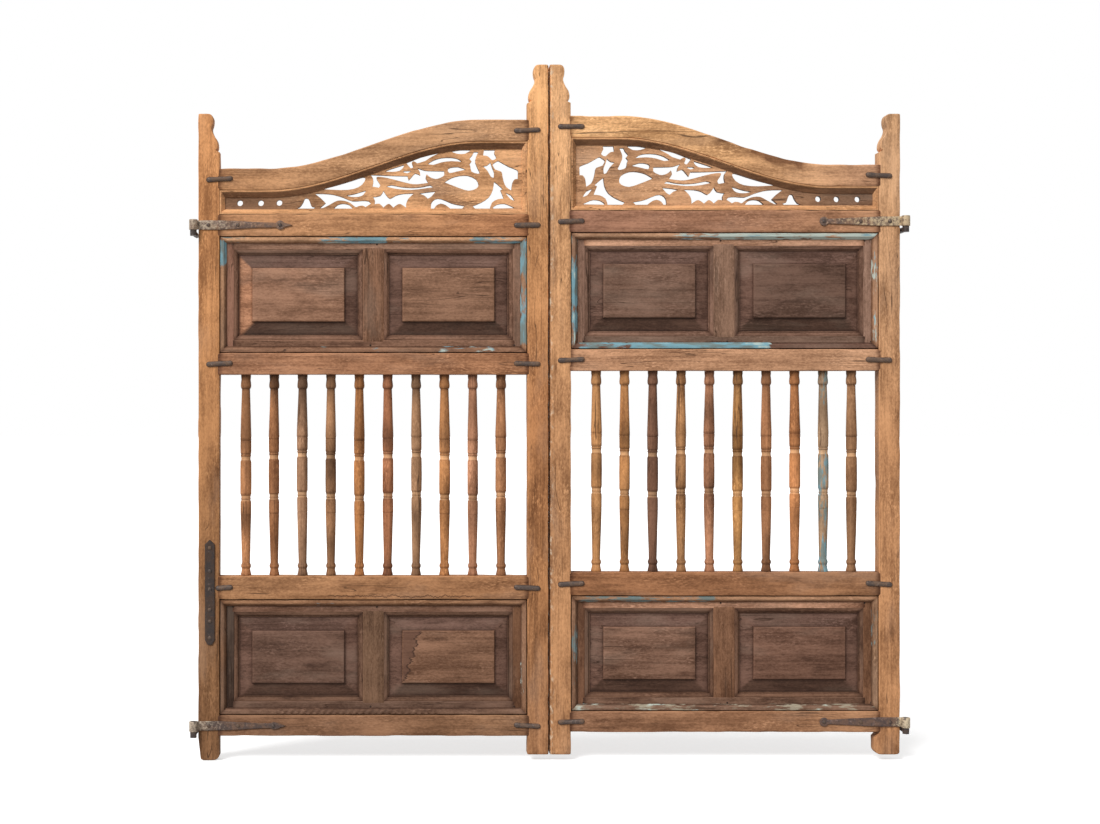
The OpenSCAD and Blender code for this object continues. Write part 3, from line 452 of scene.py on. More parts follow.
def mitred_frame(x0, x1, z0, z1, shape, seed, tints, spans=None, rope=None):
    """Four mitred strips of one placed profile round a rectangle, their outer edges on its sides."""
    runs = {"top": ("x", x0, x1, z1, -1), "bottom": ("x", x0, x1, z0, 1),
            "seam": ("z", z0, z1, x0, 1), "hinge": ("z", z0, z1, x1, -1)}
    return [mitred_strip(*run, *shape, seed + k, tints[k], (spans or {}).get(name, ()),
                         rope if name == "bottom" else None) for k, (name, run) in enumerate(runs.items())]


PER_SIDE = 24
FIELD_WEAR = 0.8 * MM


def raised_panel(x0, x1, z0, z1, y_back, y_field, tongue, bevels, field, seed):
    """Rectangles drawn in ring by ring from the tongue to the field, each at its own depth."""
    bevel = placed_profile(BEVEL_PROFILE * np.array([1, -1, 1, 1]), y_back)
    raised = placed_profile(FIELD_PROFILE, y_field)
    rows = np.concatenate([[[-tongue, y_back], [-tongue, bevel[0][0, 1]]], bevel[0], raised[0]])
    inset, depth = rows.T[:, :, None]
    edge = np.concatenate([[0, 0], bevel[1], raised[1]])[:, None]
    # Dark lines round the tongue and at the field's foot: painted shade in the gap and under the step
    line = np.concatenate([[1, 1], bevel[2], raised[2]])[:, None]
    t = np.linspace(0, 1, PER_SIDE, endpoint=False)
    u = np.concatenate([t, np.ones(PER_SIDE), 1 - t, np.zeros(PER_SIDE)])
    v = np.concatenate([np.zeros(PER_SIDE), t, np.ones(PER_SIDE), 1 - t])
    x = x0 + inset + u * (x1 - x0 - 2 * inset)
    z = z0 + inset + v * (z1 - z0 - 2 * inset)
    places = joined(x, z, depth)
    depth = depth + FIELD_WEAR * edge * waves(places, 0.03, 0.03, seed)
    order = ("bottom", "hinge", "top", "seam")
    sides = np.repeat([colour(*bevels[side]) for side in order], PER_SIDE, axis=0)
    on_field = (np.arange(len(inset)) >= 2 + len(BEVEL_PROFILE))[:, None, None]
    tint = np.where(on_field, colour(*field), sides)
    return part(joined(x, depth, z), places, seed, tint, edge, line)


SPINDLE_STEP = 8 * MM
SPINDLE_AROUND = 30
SPINDLE_GRAIN_R = 12 * MM
SPINDLE_BOW = 1.2 * MM
RINGS_FROM = 0.185
RING_SHARE, RING_EASE = 0.9, 0.04
RING_TINT = (206, 164, 122)
RING_PALENESS = 0.42
MOTTLE, MOTTLE_LEVEL = 1.2, 1.08
# Spindle heads are darkened under the rail: painted shadow
HEAD_SHADE, HEAD_REACH = 0.4, 0.05
STEEP = 0.55


def turned_spindle(node, seed, tint, paint):
    """Turning of the node's own profile: its radius at each height, a little out of round and bowed."""
    co = node_points(node)
    x_mid = abs(co[:, 0].min() + co[:, 0].max()) / 2
    radius = np.hypot(abs(co[:, 0]) - x_mid, co[:, 1])
    heights, which = np.unique(co[:, 2].round(5), return_inverse=True)
    largest = np.zeros(len(heights))
    np.maximum.at(largest, which, radius)
    heights, largest = heights[1:-1], largest[1:-1]
    foot, top = heights[0], heights[-1]
    z = np.unique(np.concatenate([heights, np.arange(foot, top, SPINDLE_STEP)]))
    r = np.interp(z, heights, largest)
    steep = np.clip(abs(np.gradient(r, z)) / STEEP, 0, 1)[:, None]
    z, r = z[:, None], r[:, None]
    reach = np.minimum(z - foot, top - z)
    ring = np.clip((RING_SHARE - r / r.max()) / RING_EASE, 0, 1) * (reach > RINGS_FROM)
    turn = full_turn(SPINDLE_AROUND)
    places = joined(z, SPINDLE_GRAIN_R * np.cos(turn), SPINDLE_GRAIN_R * np.sin(turn))
    worn = 1 - 0.03 * waves(places, 0.05, 0.012, seed)
    worn = worn - 0.02 * waves(places, 0.012, 0.01, seed + 1)
    bow = SPINDLE_BOW * np.sin(np.pi * (z - foot) / (top - foot)) * np.sin(seed)
    rings = joined(x_mid + bow + r * worn * np.cos(turn), r * worn * np.sin(turn), z)
    tints = colour(*tint) + RING_PALENESS * ring[..., None] * (colour(*RING_TINT) - colour(*tint))
    mottle = MOTTLE_LEVEL + MOTTLE * (waves(places, 0.07, 0.03, seed + 2) - 0.5)
    # Darker head under the rail: painted shadow
    tints = tints * (mottle * (1 - HEAD_SHADE * np.exp((z - top) / HEAD_REACH)))[..., None]
    # Darker on the turning's steep steps and towards its ends
    dark = np.maximum(0.75 * steep, 0.9 * np.exp(-reach / JOINT_REACH))
    cover = paint * waves(places, 0.07, 0.03, seed + 4)
    return part(rings, places, seed, tints, ring, dark, cover, SPINDLE_PALENESS)


# Shader nodes
class Value:
    """Output of a shader node. Sums and steps of values add the nodes that work them out."""

    def __init__(self, socket):
        self.socket = socket
        self.tree = socket.id_data

    def beside(self, output):
        """Another output of the same node."""
        return Value(self.socket.node.outputs[output])

    def calc(self, operation, other=0.0, **options):
        return put(self.tree, "Math", {0: self, 1: other}, operation=operation, **options)

    def calc_after(self, operation, other):
        return put(self.tree, "Math", {0: other, 1: self}, operation=operation)

    __add__ = partialmethod(calc, "ADD")
    __sub__ = partialmethod(calc, "SUBTRACT")
    __rsub__ = partialmethod(calc_after, "SUBTRACT")
    __mul__ = partialmethod(calc, "MULTIPLY")
    __truediv__ = partialmethod(calc, "DIVIDE")
    __rtruediv__ = partialmethod(calc_after, "DIVIDE")
    __abs__ = partialmethod(calc, "ABSOLUTE")

    def axis(self, name):
        return put(self.tree, "SeparateXYZ", {0: self}, name)

    def scaled(self, *factors):
        """Colour or place times one factor for each of its channels."""
        return put(self.tree, "VectorMath", {0: self, 1: factors}, operation="MULTIPLY")

    def mix(self, a, b):
        """Colour a turned towards colour b by this share."""
        return put(self.tree, "Mix", {0: self, 6: a, 7: b}, 2, data_type="RGBA")

    def step(self, low, high):
        """0 below low, 1 above high, eased between."""
        limits = {"Value": self, "From Min": low, "From Max": high}
        return put(self.tree, "MapRange", limits, interpolation_type="SMOOTHSTEP")

    def noise(self, along, across, detail=2.0, rough=0.5, distort=0.0, through=None):
        """Noise at this place, with so many cells to the metre along, across and through the board."""
        place = self.scaled(along, across, through or across)
        settings = {"Vector": place, "Scale": 1.0, "Detail": detail, "Roughness": rough,
                    "Distortion": distort}
        return put(self.tree, "TexNoise", settings)


def feed(node, inputs):
    """Fills a node's inputs with values or links."""
    for key, value in inputs.items():
        if isinstance(value, Value):
            value.tree.links.new(value.socket, node.inputs[key])
        else:
            node.inputs[key].default_value = value


def put(tree, kind, inputs, output=0, **properties):
    """Adds a node, sets its properties, fills its inputs and gives one of its outputs."""
    node = tree.nodes.new("ShaderNode" + kind)
    for name, value in properties.items():
        setattr(node, name, value)
    feed(node, inputs)
    return Value(node.outputs[output])


INPUT_KINDS = {"Grain": "Vector", "Place": "Vector", "Tint": "Color"}


def new_group(name, *labels):
    """Empty shader group with named inputs: its tree and the values that come in."""
    tree = bpy.data.node_groups.new(name, "ShaderNodeTree")
    for label in labels:
        kind = INPUT_KINDS.get(label, "Float")
        tree.interface.new_socket(label, in_out="INPUT", socket_type="NodeSocket" + kind)
    given = tree.nodes.new("NodeGroupInput").outputs
    return tree, [Value(given[label]) for label in labels]


def close_group(tree, **outputs):
    """Gives a group its named outputs: colours as colours and the rest as plain values."""
    for label, value in outputs.items():
        kind = "Color" if value.socket.type == "RGBA" else "Float"
        tree.interface.new_socket(label, in_out="OUTPUT", socket_type="NodeSocket" + kind)
    feed(tree.nodes.new("NodeGroupOutput"), outputs)
    return tree


def use_group(tree, group, output, **inputs):
    return put(tree, "Group", inputs, output, node_tree=group)


def rgba(*screen):
    return (*colour(*screen), 1.0)


GRAIN_SPREAD = 0.15


def grain_group():
    """Long grain: clouds, bands, specks and fibres along the board, with flecks and fine cracks."""
    tree, (place, tint, contrast, greying) = new_group(
        "old_wood_grain", "Grain", "Tint", "Contrast", "Greying")
    broad = place.noise(6, 20, 4.0, 0.6)
    bands = place.noise(2.2, 120.0, 3.0, 0.6, 0.4, through=70.0)
    fibre = place.noise(26, 850, 2.0, 0.65)
    specks = place.noise(120, 230, 3.0, 0.7)
    grainy = (broad * 0.42 + bands * 0.22) + (specks * 0.26 + fibre * 0.10)
    spread = GRAIN_SPREAD / contrast
    share = grainy.step(0.5 - spread, spread + 0.5)
    wood = share.mix(tint.scaled(0.46, 0.41, 0.37), tint.scaled(1.36, 1.40, 1.43))
    scuffed = place.noise(7, 13, 3.0, 0.6).step(0.48, 0.62)
    fleck = place.noise(80, 260, 3.0, 0.6).step(0.5, 0.66)
    wood = (fleck * (scuffed * 0.6 + 0.12)).mix(wood, tint.scaled(1.55, 1.65, 1.75))
    grey = place.noise(3, 11, 4.0, 0.6).step(0.5, 0.68)
    wood = (grey * greying).mix(wood, rgba(150, 128, 112))
    crack_line = place.noise(2.6, 55.0, 1.0, 0.5, 0.6)
    crack = abs(crack_line - 0.5).step(0.009, 0.002)
    crack = crack * place.noise(5, 14, 1.0).step(0.52, 0.62)
    wood = (crack * 0.75).mix(wood, rgba(58, 38, 26))
    height = fibre * 0.5 + bands * 0.5 - crack * 0.8
    return close_group(tree, Color=wood, Height=height, Rough=fibre * 0.3 + 0.52)


def edge_wear_group():
    """Rubbed arrises: the edge value broken up by noise along the grain."""
    tree, (grain, edge, amount) = new_group("rubbed_edges", "Grain", "Edge", "Amount")
    worn = edge * (grain.noise(28, 60, 4.0, 0.6) * 1.5 + 0.2)
    return close_group(tree, Mask=worn.step(0.55, 1.15) * amount)


def dirt_and_shade_group():
    """Darkening: loose dirt patches along the grain, and dark lines that are dirt in the joints and painted
    shade in the gaps and grooves.
    """
    tree, (grain, joint, amount) = new_group("dirt_and_painted_shade", "Grain", "Joint", "Amount")
    patch = grain.noise(7, 26, 5.0, 0.62).step(0.53, 0.74)
    fine = grain.noise(45, 140, 3.0)
    loose = (patch * fine) * (amount * 1.6)
    return close_group(tree, Mask=loose.calc("MAXIMUM", joint * (fine + 0.35), use_clamp=True))


def paint_group():
    """Old paint: flaked where its cover is thin, from grey blue to blue to near white to a dirty film."""
    tree, (grain, cover, pale) = new_group("old_paint", "Grain", "Cover", "Pale")
    flakes = grain.noise(28, 150, 6.0, 0.7).step(0.3, 0.7)
    patches = grain.noise(11, 30, 3.0, 0.6).step(0.32, 0.68)
    left = cover + (flakes * 0.5 + patches * 0.5 - 0.5)
    hue = grain.noise(14, 50, 3.0, 0.6) + (pale - 0.5) * 0.4
    shade = hue.step(0.36, 0.52).mix(rgba(112, 130, 128), rgba(118, 164, 176))
    shade = hue.step(0.54, 0.68).mix(shade, rgba(190, 204, 194))
    shade = hue.step(0.95, 1.05).mix(shade, rgba(158, 148, 128))
    return close_group(tree, Mask=left.step(0.52, 0.78) * 0.9, Color=shade)


def wandering_line_group():
    """Line that wanders round a level by noise: a mask on the line itself and one below it."""
    tree, (along, across, level, sway, width) = new_group(
        "wandering_line", "Along", "Across", "Level", "Sway", "Width")
    place = put(tree, "CombineXYZ", {0: along, 1: level})
    offset = (across - level) - (place.noise(46, 3, 5.0, 0.74, through=1.0) - 0.5) * sway
    line = (abs(offset) / width).step(1.0, 0.4)
    return close_group(tree, Line=line, Below=offset.step(0.0008, -0.0008))


def iron_group():
    """Forged iron round one colour: dark scale, rust in patches and a paler rubbed skin."""
    tree, (place, tint) = new_group("forged_iron_skin", "Place", "Tint")
    rust = place.noise(60, 60, 5.0, 0.62).step(0.42, 0.62)
    pits = place.noise(420, 420, 3.0, 0.6)
    rubbed = place.noise(130, 130, 4.0, 0.6).step(0.56, 0.72)
    skin = rust.mix(tint.scaled(0.55, 0.56, 0.6), tint.scaled(1.25, 1.15, 1.0))
    skin = (rubbed * 0.6).mix(skin, tint.scaled(2.3, 2.4, 2.5))
    skin = (pits.step(0.45, 0.3) * 0.6).mix(skin, rgba(34, 27, 25))
    return close_group(tree, Color=skin, Rough=rust * 0.3 + 0.5, Height=pits * 0.6 + rubbed * 0.4)


GRAIN = grain_group()
RUBBED = edge_wear_group()
DIRT_AND_SHADE = dirt_and_shade_group()
PAINT = paint_group()
IRON_SKIN = iron_group()
WANDERING_LINE = wandering_line_group()
WOOD_SHINE = 0.16
IRON_SHINE, IRON_METAL, IRON_BUMP = 0.4, 0.25, 0.8 * MM


def new_material(name):
    material = bpy.data.materials.new(name)
    material.use_nodes = True
    shader = next(n for n in material.node_tree.nodes if n.type == "BSDF_PRINCIPLED")
    return material, material.node_tree, shader


def point_value(tree, name, output="Fac"):
    return put(tree, "Attribute", {}, output, attribute_name=name)


def coordinates(tree, kind):
    return put(tree, "TexCoord", {}, kind)


def lengthwise(place):
    """Place in the order along, across and through a board that lies along x."""
    return put(place.tree, "CombineXYZ", {k: place.axis(name) for k, name in enumerate("XZY")})


def finish_wood(shader, grain, tint, contrast, greying, edge, rubbed, joint, dirt, bump_mm,
                cover=None, marks=()):
    """Grain, rubbed edges, dirt with painted shade, paint and marks laid over one another on a wood shader.
    """
    tree = shader.id_data
    wood = use_group(tree, GRAIN, "Color", Grain=grain, Tint=tint, Contrast=contrast, Greying=greying)
    skin = wood
    if rubbed:
        worn = use_group(tree, RUBBED, "Mask", Grain=grain, Edge=edge, Amount=rubbed)
        skin = worn.mix(skin, tint.scaled(1.5, 1.55, 1.6))
    # Dirt patches, and dark lines that are dirt in the joints and painted shade in the gaps and grooves
    dirt_and_shade_mask = use_group(tree, DIRT_AND_SHADE, "Mask", Grain=grain, Joint=joint, Amount=dirt)
    skin = dirt_and_shade_mask.mix(skin, skin.scaled(0.34, 0.28, 0.25))
    if cover:
        paint = use_group(tree, PAINT, "Mask", Grain=grain, Cover=cover[0], Pale=cover[1])
        skin = paint.mix(skin, paint.beside("Color"))
    for mask, shade in marks:
        skin = mask.mix(skin, shade)
    bump = put(tree, "Bump", {"Height": wood.beside("Height"), "Strength": 1.0, "Distance": bump_mm * MM})
    feed(shader, {"Base Color": skin, "Roughness": wood.beside("Rough"), "Normal": bump,
                  "Specular IOR Level": WOOD_SHINE})


def board_wood(name, contrast, greying, rubbed, dirt, bump_mm, painted=False, marks=None):
    """Wood of the boards, which carry their own grain, colour, edges, dark lines of dirt and painted shade,
    and paint.

    Marks is a function that adds a board's own cracks or stains to the node tree.
    """
    material, tree, shader = new_material(name)
    cover = [point_value(tree, label) for label in ("paint", "pale")] if painted else None
    finish_wood(shader, point_value(tree, "grain", "Vector"), point_value(tree, "tint", "Color"),
                contrast, greying, point_value(tree, "edge"), rubbed, point_value(tree, "joint"),
                dirt, bump_mm, cover, marks(tree) if marks else ())
    return material


def fret_wood(name, side):
    """Wood of the pierced panel: grain along x, darker towards its hinge end as a painted shadow of the top
    rail, and darker on its cut-out walls as painted shade with darker end grain.
    """
    material, tree, shader = new_material(name)
    place = coordinates(tree, "Object")
    # Painted shadow of the top rail towards the hinge end
    darker = abs(place.axis("X")).step(0.42, 0.78)
    tint = (darker * 0.85).mix(rgba(*FRET_TINTS[side]), rgba(*FRET_END_TINT))
    # Cut-out walls darker: painted shade with darker end grain
    walls = abs(coordinates(tree, "Normal").axis("Y")).step(0.8, 0.5)
    tint = (walls * 0.8).mix(tint, rgba(*FRET_WALL_TINT))
    finish_wood(shader, lengthwise(place), tint, 1.0, 0.35, 0.0, 0.0, 0.0, 0.9, 0.5)
    return material


def bead_wood(name):
    """Wood of the bevelled bead, with its grain along x and painted shade on the faces that look down."""
    material, tree, shader = new_material(name)
    below = coordinates(tree, "Normal").axis("Z").step(-0.15, -0.45)
    tint = below.mix(rgba(*BEAD_TINT), rgba(*BEAD_SHADE_TINT))
    finish_wood(shader, lengthwise(coordinates(tree, "Object")), tint, 0.9, 0.15, 0.0, 0.0, 0.0, 0.7, 0.4)
    return material


def iron(name, tint=None, lime=None):
    """Forged iron of one colour, or of each piece's own, with lime on it towards the hinge."""
    material, tree, shader = new_material(name)
    place = coordinates(tree, "Object")
    tint = rgba(*tint) if tint else point_value(tree, "tint", "Color")
    skin = use_group(tree, IRON_SKIN, "Color", Place=place, Tint=tint)
    shade = skin
    if lime:
        inner, outer, cover, tone = lime
        reach = abs(place.axis("X")).step(inner, outer) * (cover - LIME_SPOTS) + LIME_SPOTS
        held = (reach + place.noise(120, 120, 5.0, 0.72) * 0.9).step(0.78, 1.0)
        shade = (held * 0.9).mix(shade, rgba(*tone))
    bump = put(tree, "Bump", {"Height": skin.beside("Height"), "Strength": 1.0, "Distance": IRON_BUMP})
    feed(shader, {"Base Color": shade, "Roughness": skin.beside("Rough"), "Normal": bump,
                  "Metallic": IRON_METAL, "Specular IOR Level": IRON_SHINE})
    return material


CRACK_FROM, CRACK_TO, CRACK_EASE, CRACK_RISE = -0.59, -0.18, 0.03, 9 * MM
STAIN_FOOT, STAIN_X, STAIN_Z, STAIN_LEAN = -0.380, -0.358, 0.264, 0.3


def rail_crack(tree):
    """Wavy crack a little above the rail's lower edge, over part of its length."""
    place = coordinates(tree, "Object")
    x = place.axis("X")
    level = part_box("left_lower_rail")[0].z + CRACK_RISE
    line = use_group(tree, WANDERING_LINE, "Line", Along=x, Across=place.axis("Z"), Level=level, Sway=0.03,
                     Width=0.0016)
    reach = x.step(CRACK_FROM, CRACK_FROM + CRACK_EASE) * x.step(CRACK_TO, CRACK_TO - CRACK_EASE)
    return [(line * reach * 0.85, rgba(62, 40, 28))]


def water_stain(tree):
    """Darker end of one raised field with a dark jagged tide line."""
    x, y, z = [coordinates(tree, "Object").axis(name) for name in "XYZ"]
    across = x - (z - STAIN_Z) * STAIN_LEAN
    line = use_group(tree, WANDERING_LINE, "Line", Along=z, Across=across, Level=STAIN_X, Sway=0.07,
                     Width=0.003)
    y_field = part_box("left_lower_panels")[0].y
    on_field = x.step(STAIN_FOOT - 2 * MM, STAIN_FOOT) * y.step(y_field + 1.2 * MM, y_field + 0.6 * MM)
    below = line.beside("Below")
    return [(below * on_field * 0.7, rgba(92, 64, 52)), (line * on_field * 0.9, rgba(56, 38, 30))]


def pale_scuffs(tree):
    """Whitish scuffs along the seam edge of a stile's front."""
    place = coordinates(tree, "Object")
    front = coordinates(tree, "Normal").axis("Y").step(-0.3, -0.7)
    near = place.axis("X").step(0.016, 0.003) * front
    chips = place.noise(120, 60, 4.0, 0.65, through=55.0).step(0.52, 0.66)
    return [(near * chips * 0.75, rgba(226, 204, 176))]


# Finishes: contrast, greying, rubbed edges, dirt and depth of the grain in mm
FRAME_FINISH = (1.1, 0.22, 0.4, 0.75, 0.6)
PANEL_FINISH = (1.25, 0.22, 0.5, 0.9, 0.9)
FRAME_WOOD = board_wood("frame_wood_worn", *FRAME_FINISH)
PANEL_WOOD = board_wood("panel_wood_dry", *PANEL_FINISH)
MARKED_WOOD = {
    "left_lower_rail": board_wood("frame_wood_cracked", *FRAME_FINISH, marks=rail_crack),
    "right_meeting_stile": board_wood("frame_wood_scuffed", *FRAME_FINISH, marks=pale_scuffs),
    "left_lower_panels": board_wood("panel_wood_stained", *PANEL_FINISH, marks=water_stain),
}
MOULDING_WOOD = board_wood("moulding_wood_painted", 1.0, 0.25, 0.35, 0.8, 0.5, painted=True)
TURNED_WOOD = board_wood("turned_wood_rubbed", 1.0, 0.04, 0.6, 0.7, 0.4, painted=True)
BEAD_WOOD = bead_wood("bead_wood_shaded_below")
FORGED_IRON = iron("iron_forged")
NAIL_IRON = iron("iron_nails", (92, 76, 66))
PINTLE_IRON = iron("iron_pintles", (72, 60, 54))


# Boards of a leaf
def height_edges(node, inner):
    """Outline of a stile by height, read from its back face: heights and x on one side of its middle."""
    co = node_points(node)
    co = co[co[:, 1] > co[:, 1].max() - 1e-5]
    x = abs(co[:, 0])
    middle = x.max() - 0.5 * STILE_W if "hinge" in node else x.min() + 0.5 * STILE_W
    picked = x < middle if inner else x > middle
    order = np.argsort(co[picked, 2], kind="stable")
    return co[picked, 2][order], x[picked][order]


def stile(side, name, seed, gnawed):
    """Stile with its carved top and eased foot."""
    node = f"{side}_{name}"
    z_in, x_in = height_edges(node, True)
    z_out, x_out = height_edges(node, False)
    foot, top = min(z_in[0], z_out[0]), max(z_in[-1], z_out[-1])
    heights = np.unique(np.concatenate([z_in, z_out, np.arange(foot, top, STILE_STEP)]).round(5))
    low, high = np.interp(heights, z_in, x_in), np.interp(heights, z_out, x_out)
    lo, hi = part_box(node)
    one = board("z", heights, low, high, lo.y, hi.y, seed, BOARD_TINTS[node], gnawed=gnawed)
    make_piece(f"{node}_board", [one], side, MARKED_WOOD.get(node, FRAME_WOOD), "frame_wood", node)


def seam_reach(box):
    """Least and greatest distance of a box from the seam."""
    return sorted(abs(corner.x) for corner in box)


def leaf_sides(side):
    """Inner edges of the meeting stile and of the hinge stile, measured from the seam."""
    meeting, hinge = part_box(f"{side}_meeting_stile"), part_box(f"{side}_hinge_stile")
    seam, x_meeting = seam_reach(meeting)
    return x_meeting, seam_reach(hinge)[1] - (x_meeting - seam)


def top_rail_foot(side, x):
    """Height of the curved rail's lower edge: level at both ends with a double curve between."""
    lo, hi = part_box(f"{side}_top_rail")
    x_meeting, x_hinge = leaf_sides(side)
    t = np.clip((x - x_meeting - SWEEP_RUN) / (x_hinge - x_meeting - 2 * SWEEP_RUN), 0, 1)
    return lo.z + (hi.z - lo.z - TOP_RAIL_H) * (1 - t * t * (3 - 2 * t))


def rail(side, name, seed):
    """Rail between the stiles, its ends buried a little in them."""
    node = f"{side}_{name}"
    lo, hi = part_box(node)
    x_meeting, x_hinge = leaf_sides(side)
    x = np.linspace(x_meeting - BURIED, x_hinge + BURIED, ALONG_STEPS)
    if name == "top_rail":
        low = top_rail_foot(side, x)
        high = low + TOP_RAIL_H
    else:
        low, high = lo.z, hi.z
    one = board("x", x, low, high, lo.y, hi.y, seed, BOARD_TINTS[node], jointed=True,
                stained=STAINS.get(node, ()))
    make_piece(f"{node}_board", [one], side, MARKED_WOOD.get(node, FRAME_WOOD), "frame_wood", node)


def rails_and_stiles(side, seed):
    stile(side, "hinge_stile", seed, 0.0)
    stile(side, "meeting_stile", seed + 5, GNAWED)
    for k, name in enumerate(["top_rail", "frieze_rail", "middle_rail", "lower_rail", "bottom_rail"]):
        rail(side, name, seed + 10 + 5 * k)


# Panels
# Profiles: reach from the outer edge and depth from the front, both in mm, then edge wear and dark lines
# The dark lines are painted shade in the gaps and grooves, with some dirt in them
MOULDING_PROFILE = np.array([
    [1.4, 10, 0, 1], [1.4, 1.0, 0.3, 1], [2.4, 0, 0.6, 0], [9.2, 0, 0.5, 0], [11, 0.8, 0.3, 0],
    [12.5, 3.2, 0, 0.1], [14.4, 5.2, 0.2, 0.8], [17, 7.4, 0, 1.4], [17, 10, 0, 1.4]])
STICKING_PROFILE = np.array([
    [-1, 22, 0, 0], [-1, 2, 0, 0.6], [0, 1.2, 0.5, 0.3], [2.2, 1.05, 0.8, 0], [5, 1.5, 0.6, 0],
    [7.6, 2.5, 0.2, 0], [9.4, 3.6, 0, 0.3], [10, 4.6, 0, 1], [10.2, 6.2, 0, 1.2], [10.9, 6.2, 0, 1.2],
    [11.2, 5.6, 0.6, 0.3], [12.6, 5.7, 1, 0.1], [13, 6.2, 0.3, 0.8], [13, 22, 0, 1]])
BEVEL_PROFILE = np.array([
    [1, 6, 0, 1.3], [3.5, 6.6, 0, 0.5], [9, 7.7, 0, 0.15], [17, 9.4, 0, 0], [27, 11.6, 0, 0.1],
    [32, 12.7, 0, 0.45], [33, 13, 0.1, 1]])
FIELD_PROFILE = np.array([[35.2, 1.2, 0.9, 0.3], [36.2, 0.25, 1, 0], [38, 0, 0.25, 0]])


def placed_profile(table, y):
    """Closed loop of reach and depth in metres, its edge wear and its dark lines."""
    return np.column_stack([table[:, 0] * MM, table[:, 1] * MM + y]), table[:, 2], table[:, 3]


def peg_head(x, z, y):
    """Small dark head of a nail, sunk in the frame."""
    turn = full_turn(12)
    r = np.array([2.4, 2.4, 1.9, 0.8])[:, None] * MM
    depth = np.array([3.0, -0.2, -0.7, -0.9])[:, None] * MM
    rings = joined(x + r * np.cos(turn), y + depth, z + r * np.sin(turn))
    return part(rings, rings, 1, colour(*PEG_TINT))


# Rounding, wear of the faces and wear of the edges
PANEL_BOARD_WEAR = (1.6 * MM, 0.5 * MM, 0.9 * MM)
STRAP_WEAR = (1.3 * MM, 0.9 * MM, 1.3 * MM)
PLATE_WEAR = (1.2 * MM, 0.7 * MM, 0.8 * MM)
# Nail heads of the panel frames: share of the rail's height, and places to both sides
PEG_RISE = 0.62
PEG_SHIFTS = (-9 * MM, 8 * MM)


def panel_section(side, level, seed):
    """Moulding, panel frame and two raised panels of one opening."""
    name = f"{side}_{level}"
    x_meeting, x_hinge = leaf_sides(side)
    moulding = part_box(f"{name}_moulding")
    frame_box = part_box(f"{name}_panel_frame")
    panel_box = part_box(f"{name}_panels")
    z0, z1 = moulding[0].z, moulding[1].z
    shape = placed_profile(MOULDING_PROFILE, moulding[0].y)
    strips = mitred_frame(x_meeting, x_hinge, z0, z1, shape, seed, MOULDING_TINTS[name],
                          PAINT_SPANS[name], ROPE_SPANS.get(name))
    make_piece(f"{name}_moulding_strips", strips, side, MOULDING_WOOD, "painted_moulding",
               f"{name}_moulding")

    y0, y1 = frame_box[0].y, frame_box[1].y
    x_in, x_out = x_meeting + PANEL_STILE_W, x_hinge - PANEL_STILE_W
    opening_w = (x_out - x_in - MUNTIN_W) / 2
    z_in, z_out = z0 + PANEL_RAIL_H, z1 - PANEL_RAIL_H
    w = STICKING_W
    *board_tints, sticking_tint = PANEL_FRAME_TINTS[name]
    boards = []

    def flat(axis, start, end, low, high, k):
        steps = np.linspace(start, end, max(6, int((end - start) / STRIP_CELL)))
        boards.append(board(axis, steps, low, high, y0, y1, seed + 20 + 3 * k, [board_tints[k]],
                            *PANEL_BOARD_WEAR, jointed=axis == "x"))

    flat("z", z0 - BURIED, z1 + BURIED, x_meeting - BURIED, x_in - w, 0)
    flat("z", z0 - BURIED, z1 + BURIED, x_out + w, x_hinge + BURIED, 1)
    flat("x", x_in - w - BURIED, x_out + w + BURIED, z_out + w, z1 + BURIED, 2)
    flat("x", x_in - w - BURIED, x_out + w + BURIED, z0 - BURIED, z_in - w, 3)
    flat("z", z_in - w - BURIED, z_out + w + BURIED, x_in + opening_w + w, x_out - opening_w - w, 4)
    shape = placed_profile(STICKING_PROFILE, y0)
    starts = (x_in, x_out - opening_w)
    for k, x in enumerate(starts):
        boards += mitred_frame(x - w, x + opening_w + w, z_in - w, z_out + w, shape,
                               seed + 40 + 5 * k, [sticking_tint] * 4)
    for x in (x_in - 0.5 * PANEL_STILE_W, (x_in + x_out) / 2, x_out + 0.5 * PANEL_STILE_W):
        for z in (z_in - PEG_RISE * PANEL_RAIL_H, z_out + PEG_RISE * PANEL_RAIL_H):
            for shift in PEG_SHIFTS:
                boards.append(peg_head(x + shift, z + 0.25 * shift, y0))
    make_piece(f"{name}_panel_frame_boards", boards, side, PANEL_WOOD, "panel_wood", f"{name}_panel_frame")

    tongue = (panel_box[1].z - panel_box[0].z - (z_out - z_in)) / 2
    y_field, y_back = panel_box[0].y, panel_box[1].y
    panels = []
    for k, x in enumerate(starts):
        bevels = dict(BEVEL_TINTS)
        # Paler bevel by the hinge on one panel: wear and painted highlight
        if (name, k) == WORN_LIT_PANEL:
            bevels["hinge"] = WORN_LIT_BEVEL_TINT
        panels.append(raised_panel(x, x + opening_w, z_in, z_out, y_back, y_field, tongue, bevels,
                                   FIELD_TINTS[name][k], seed + 60 + k))
    material = MARKED_WOOD.get(f"{name}_panels", PANEL_WOOD)
    make_piece(f"{name}_raised_panels", panels, side, material, "panel_wood", f"{name}_panels")


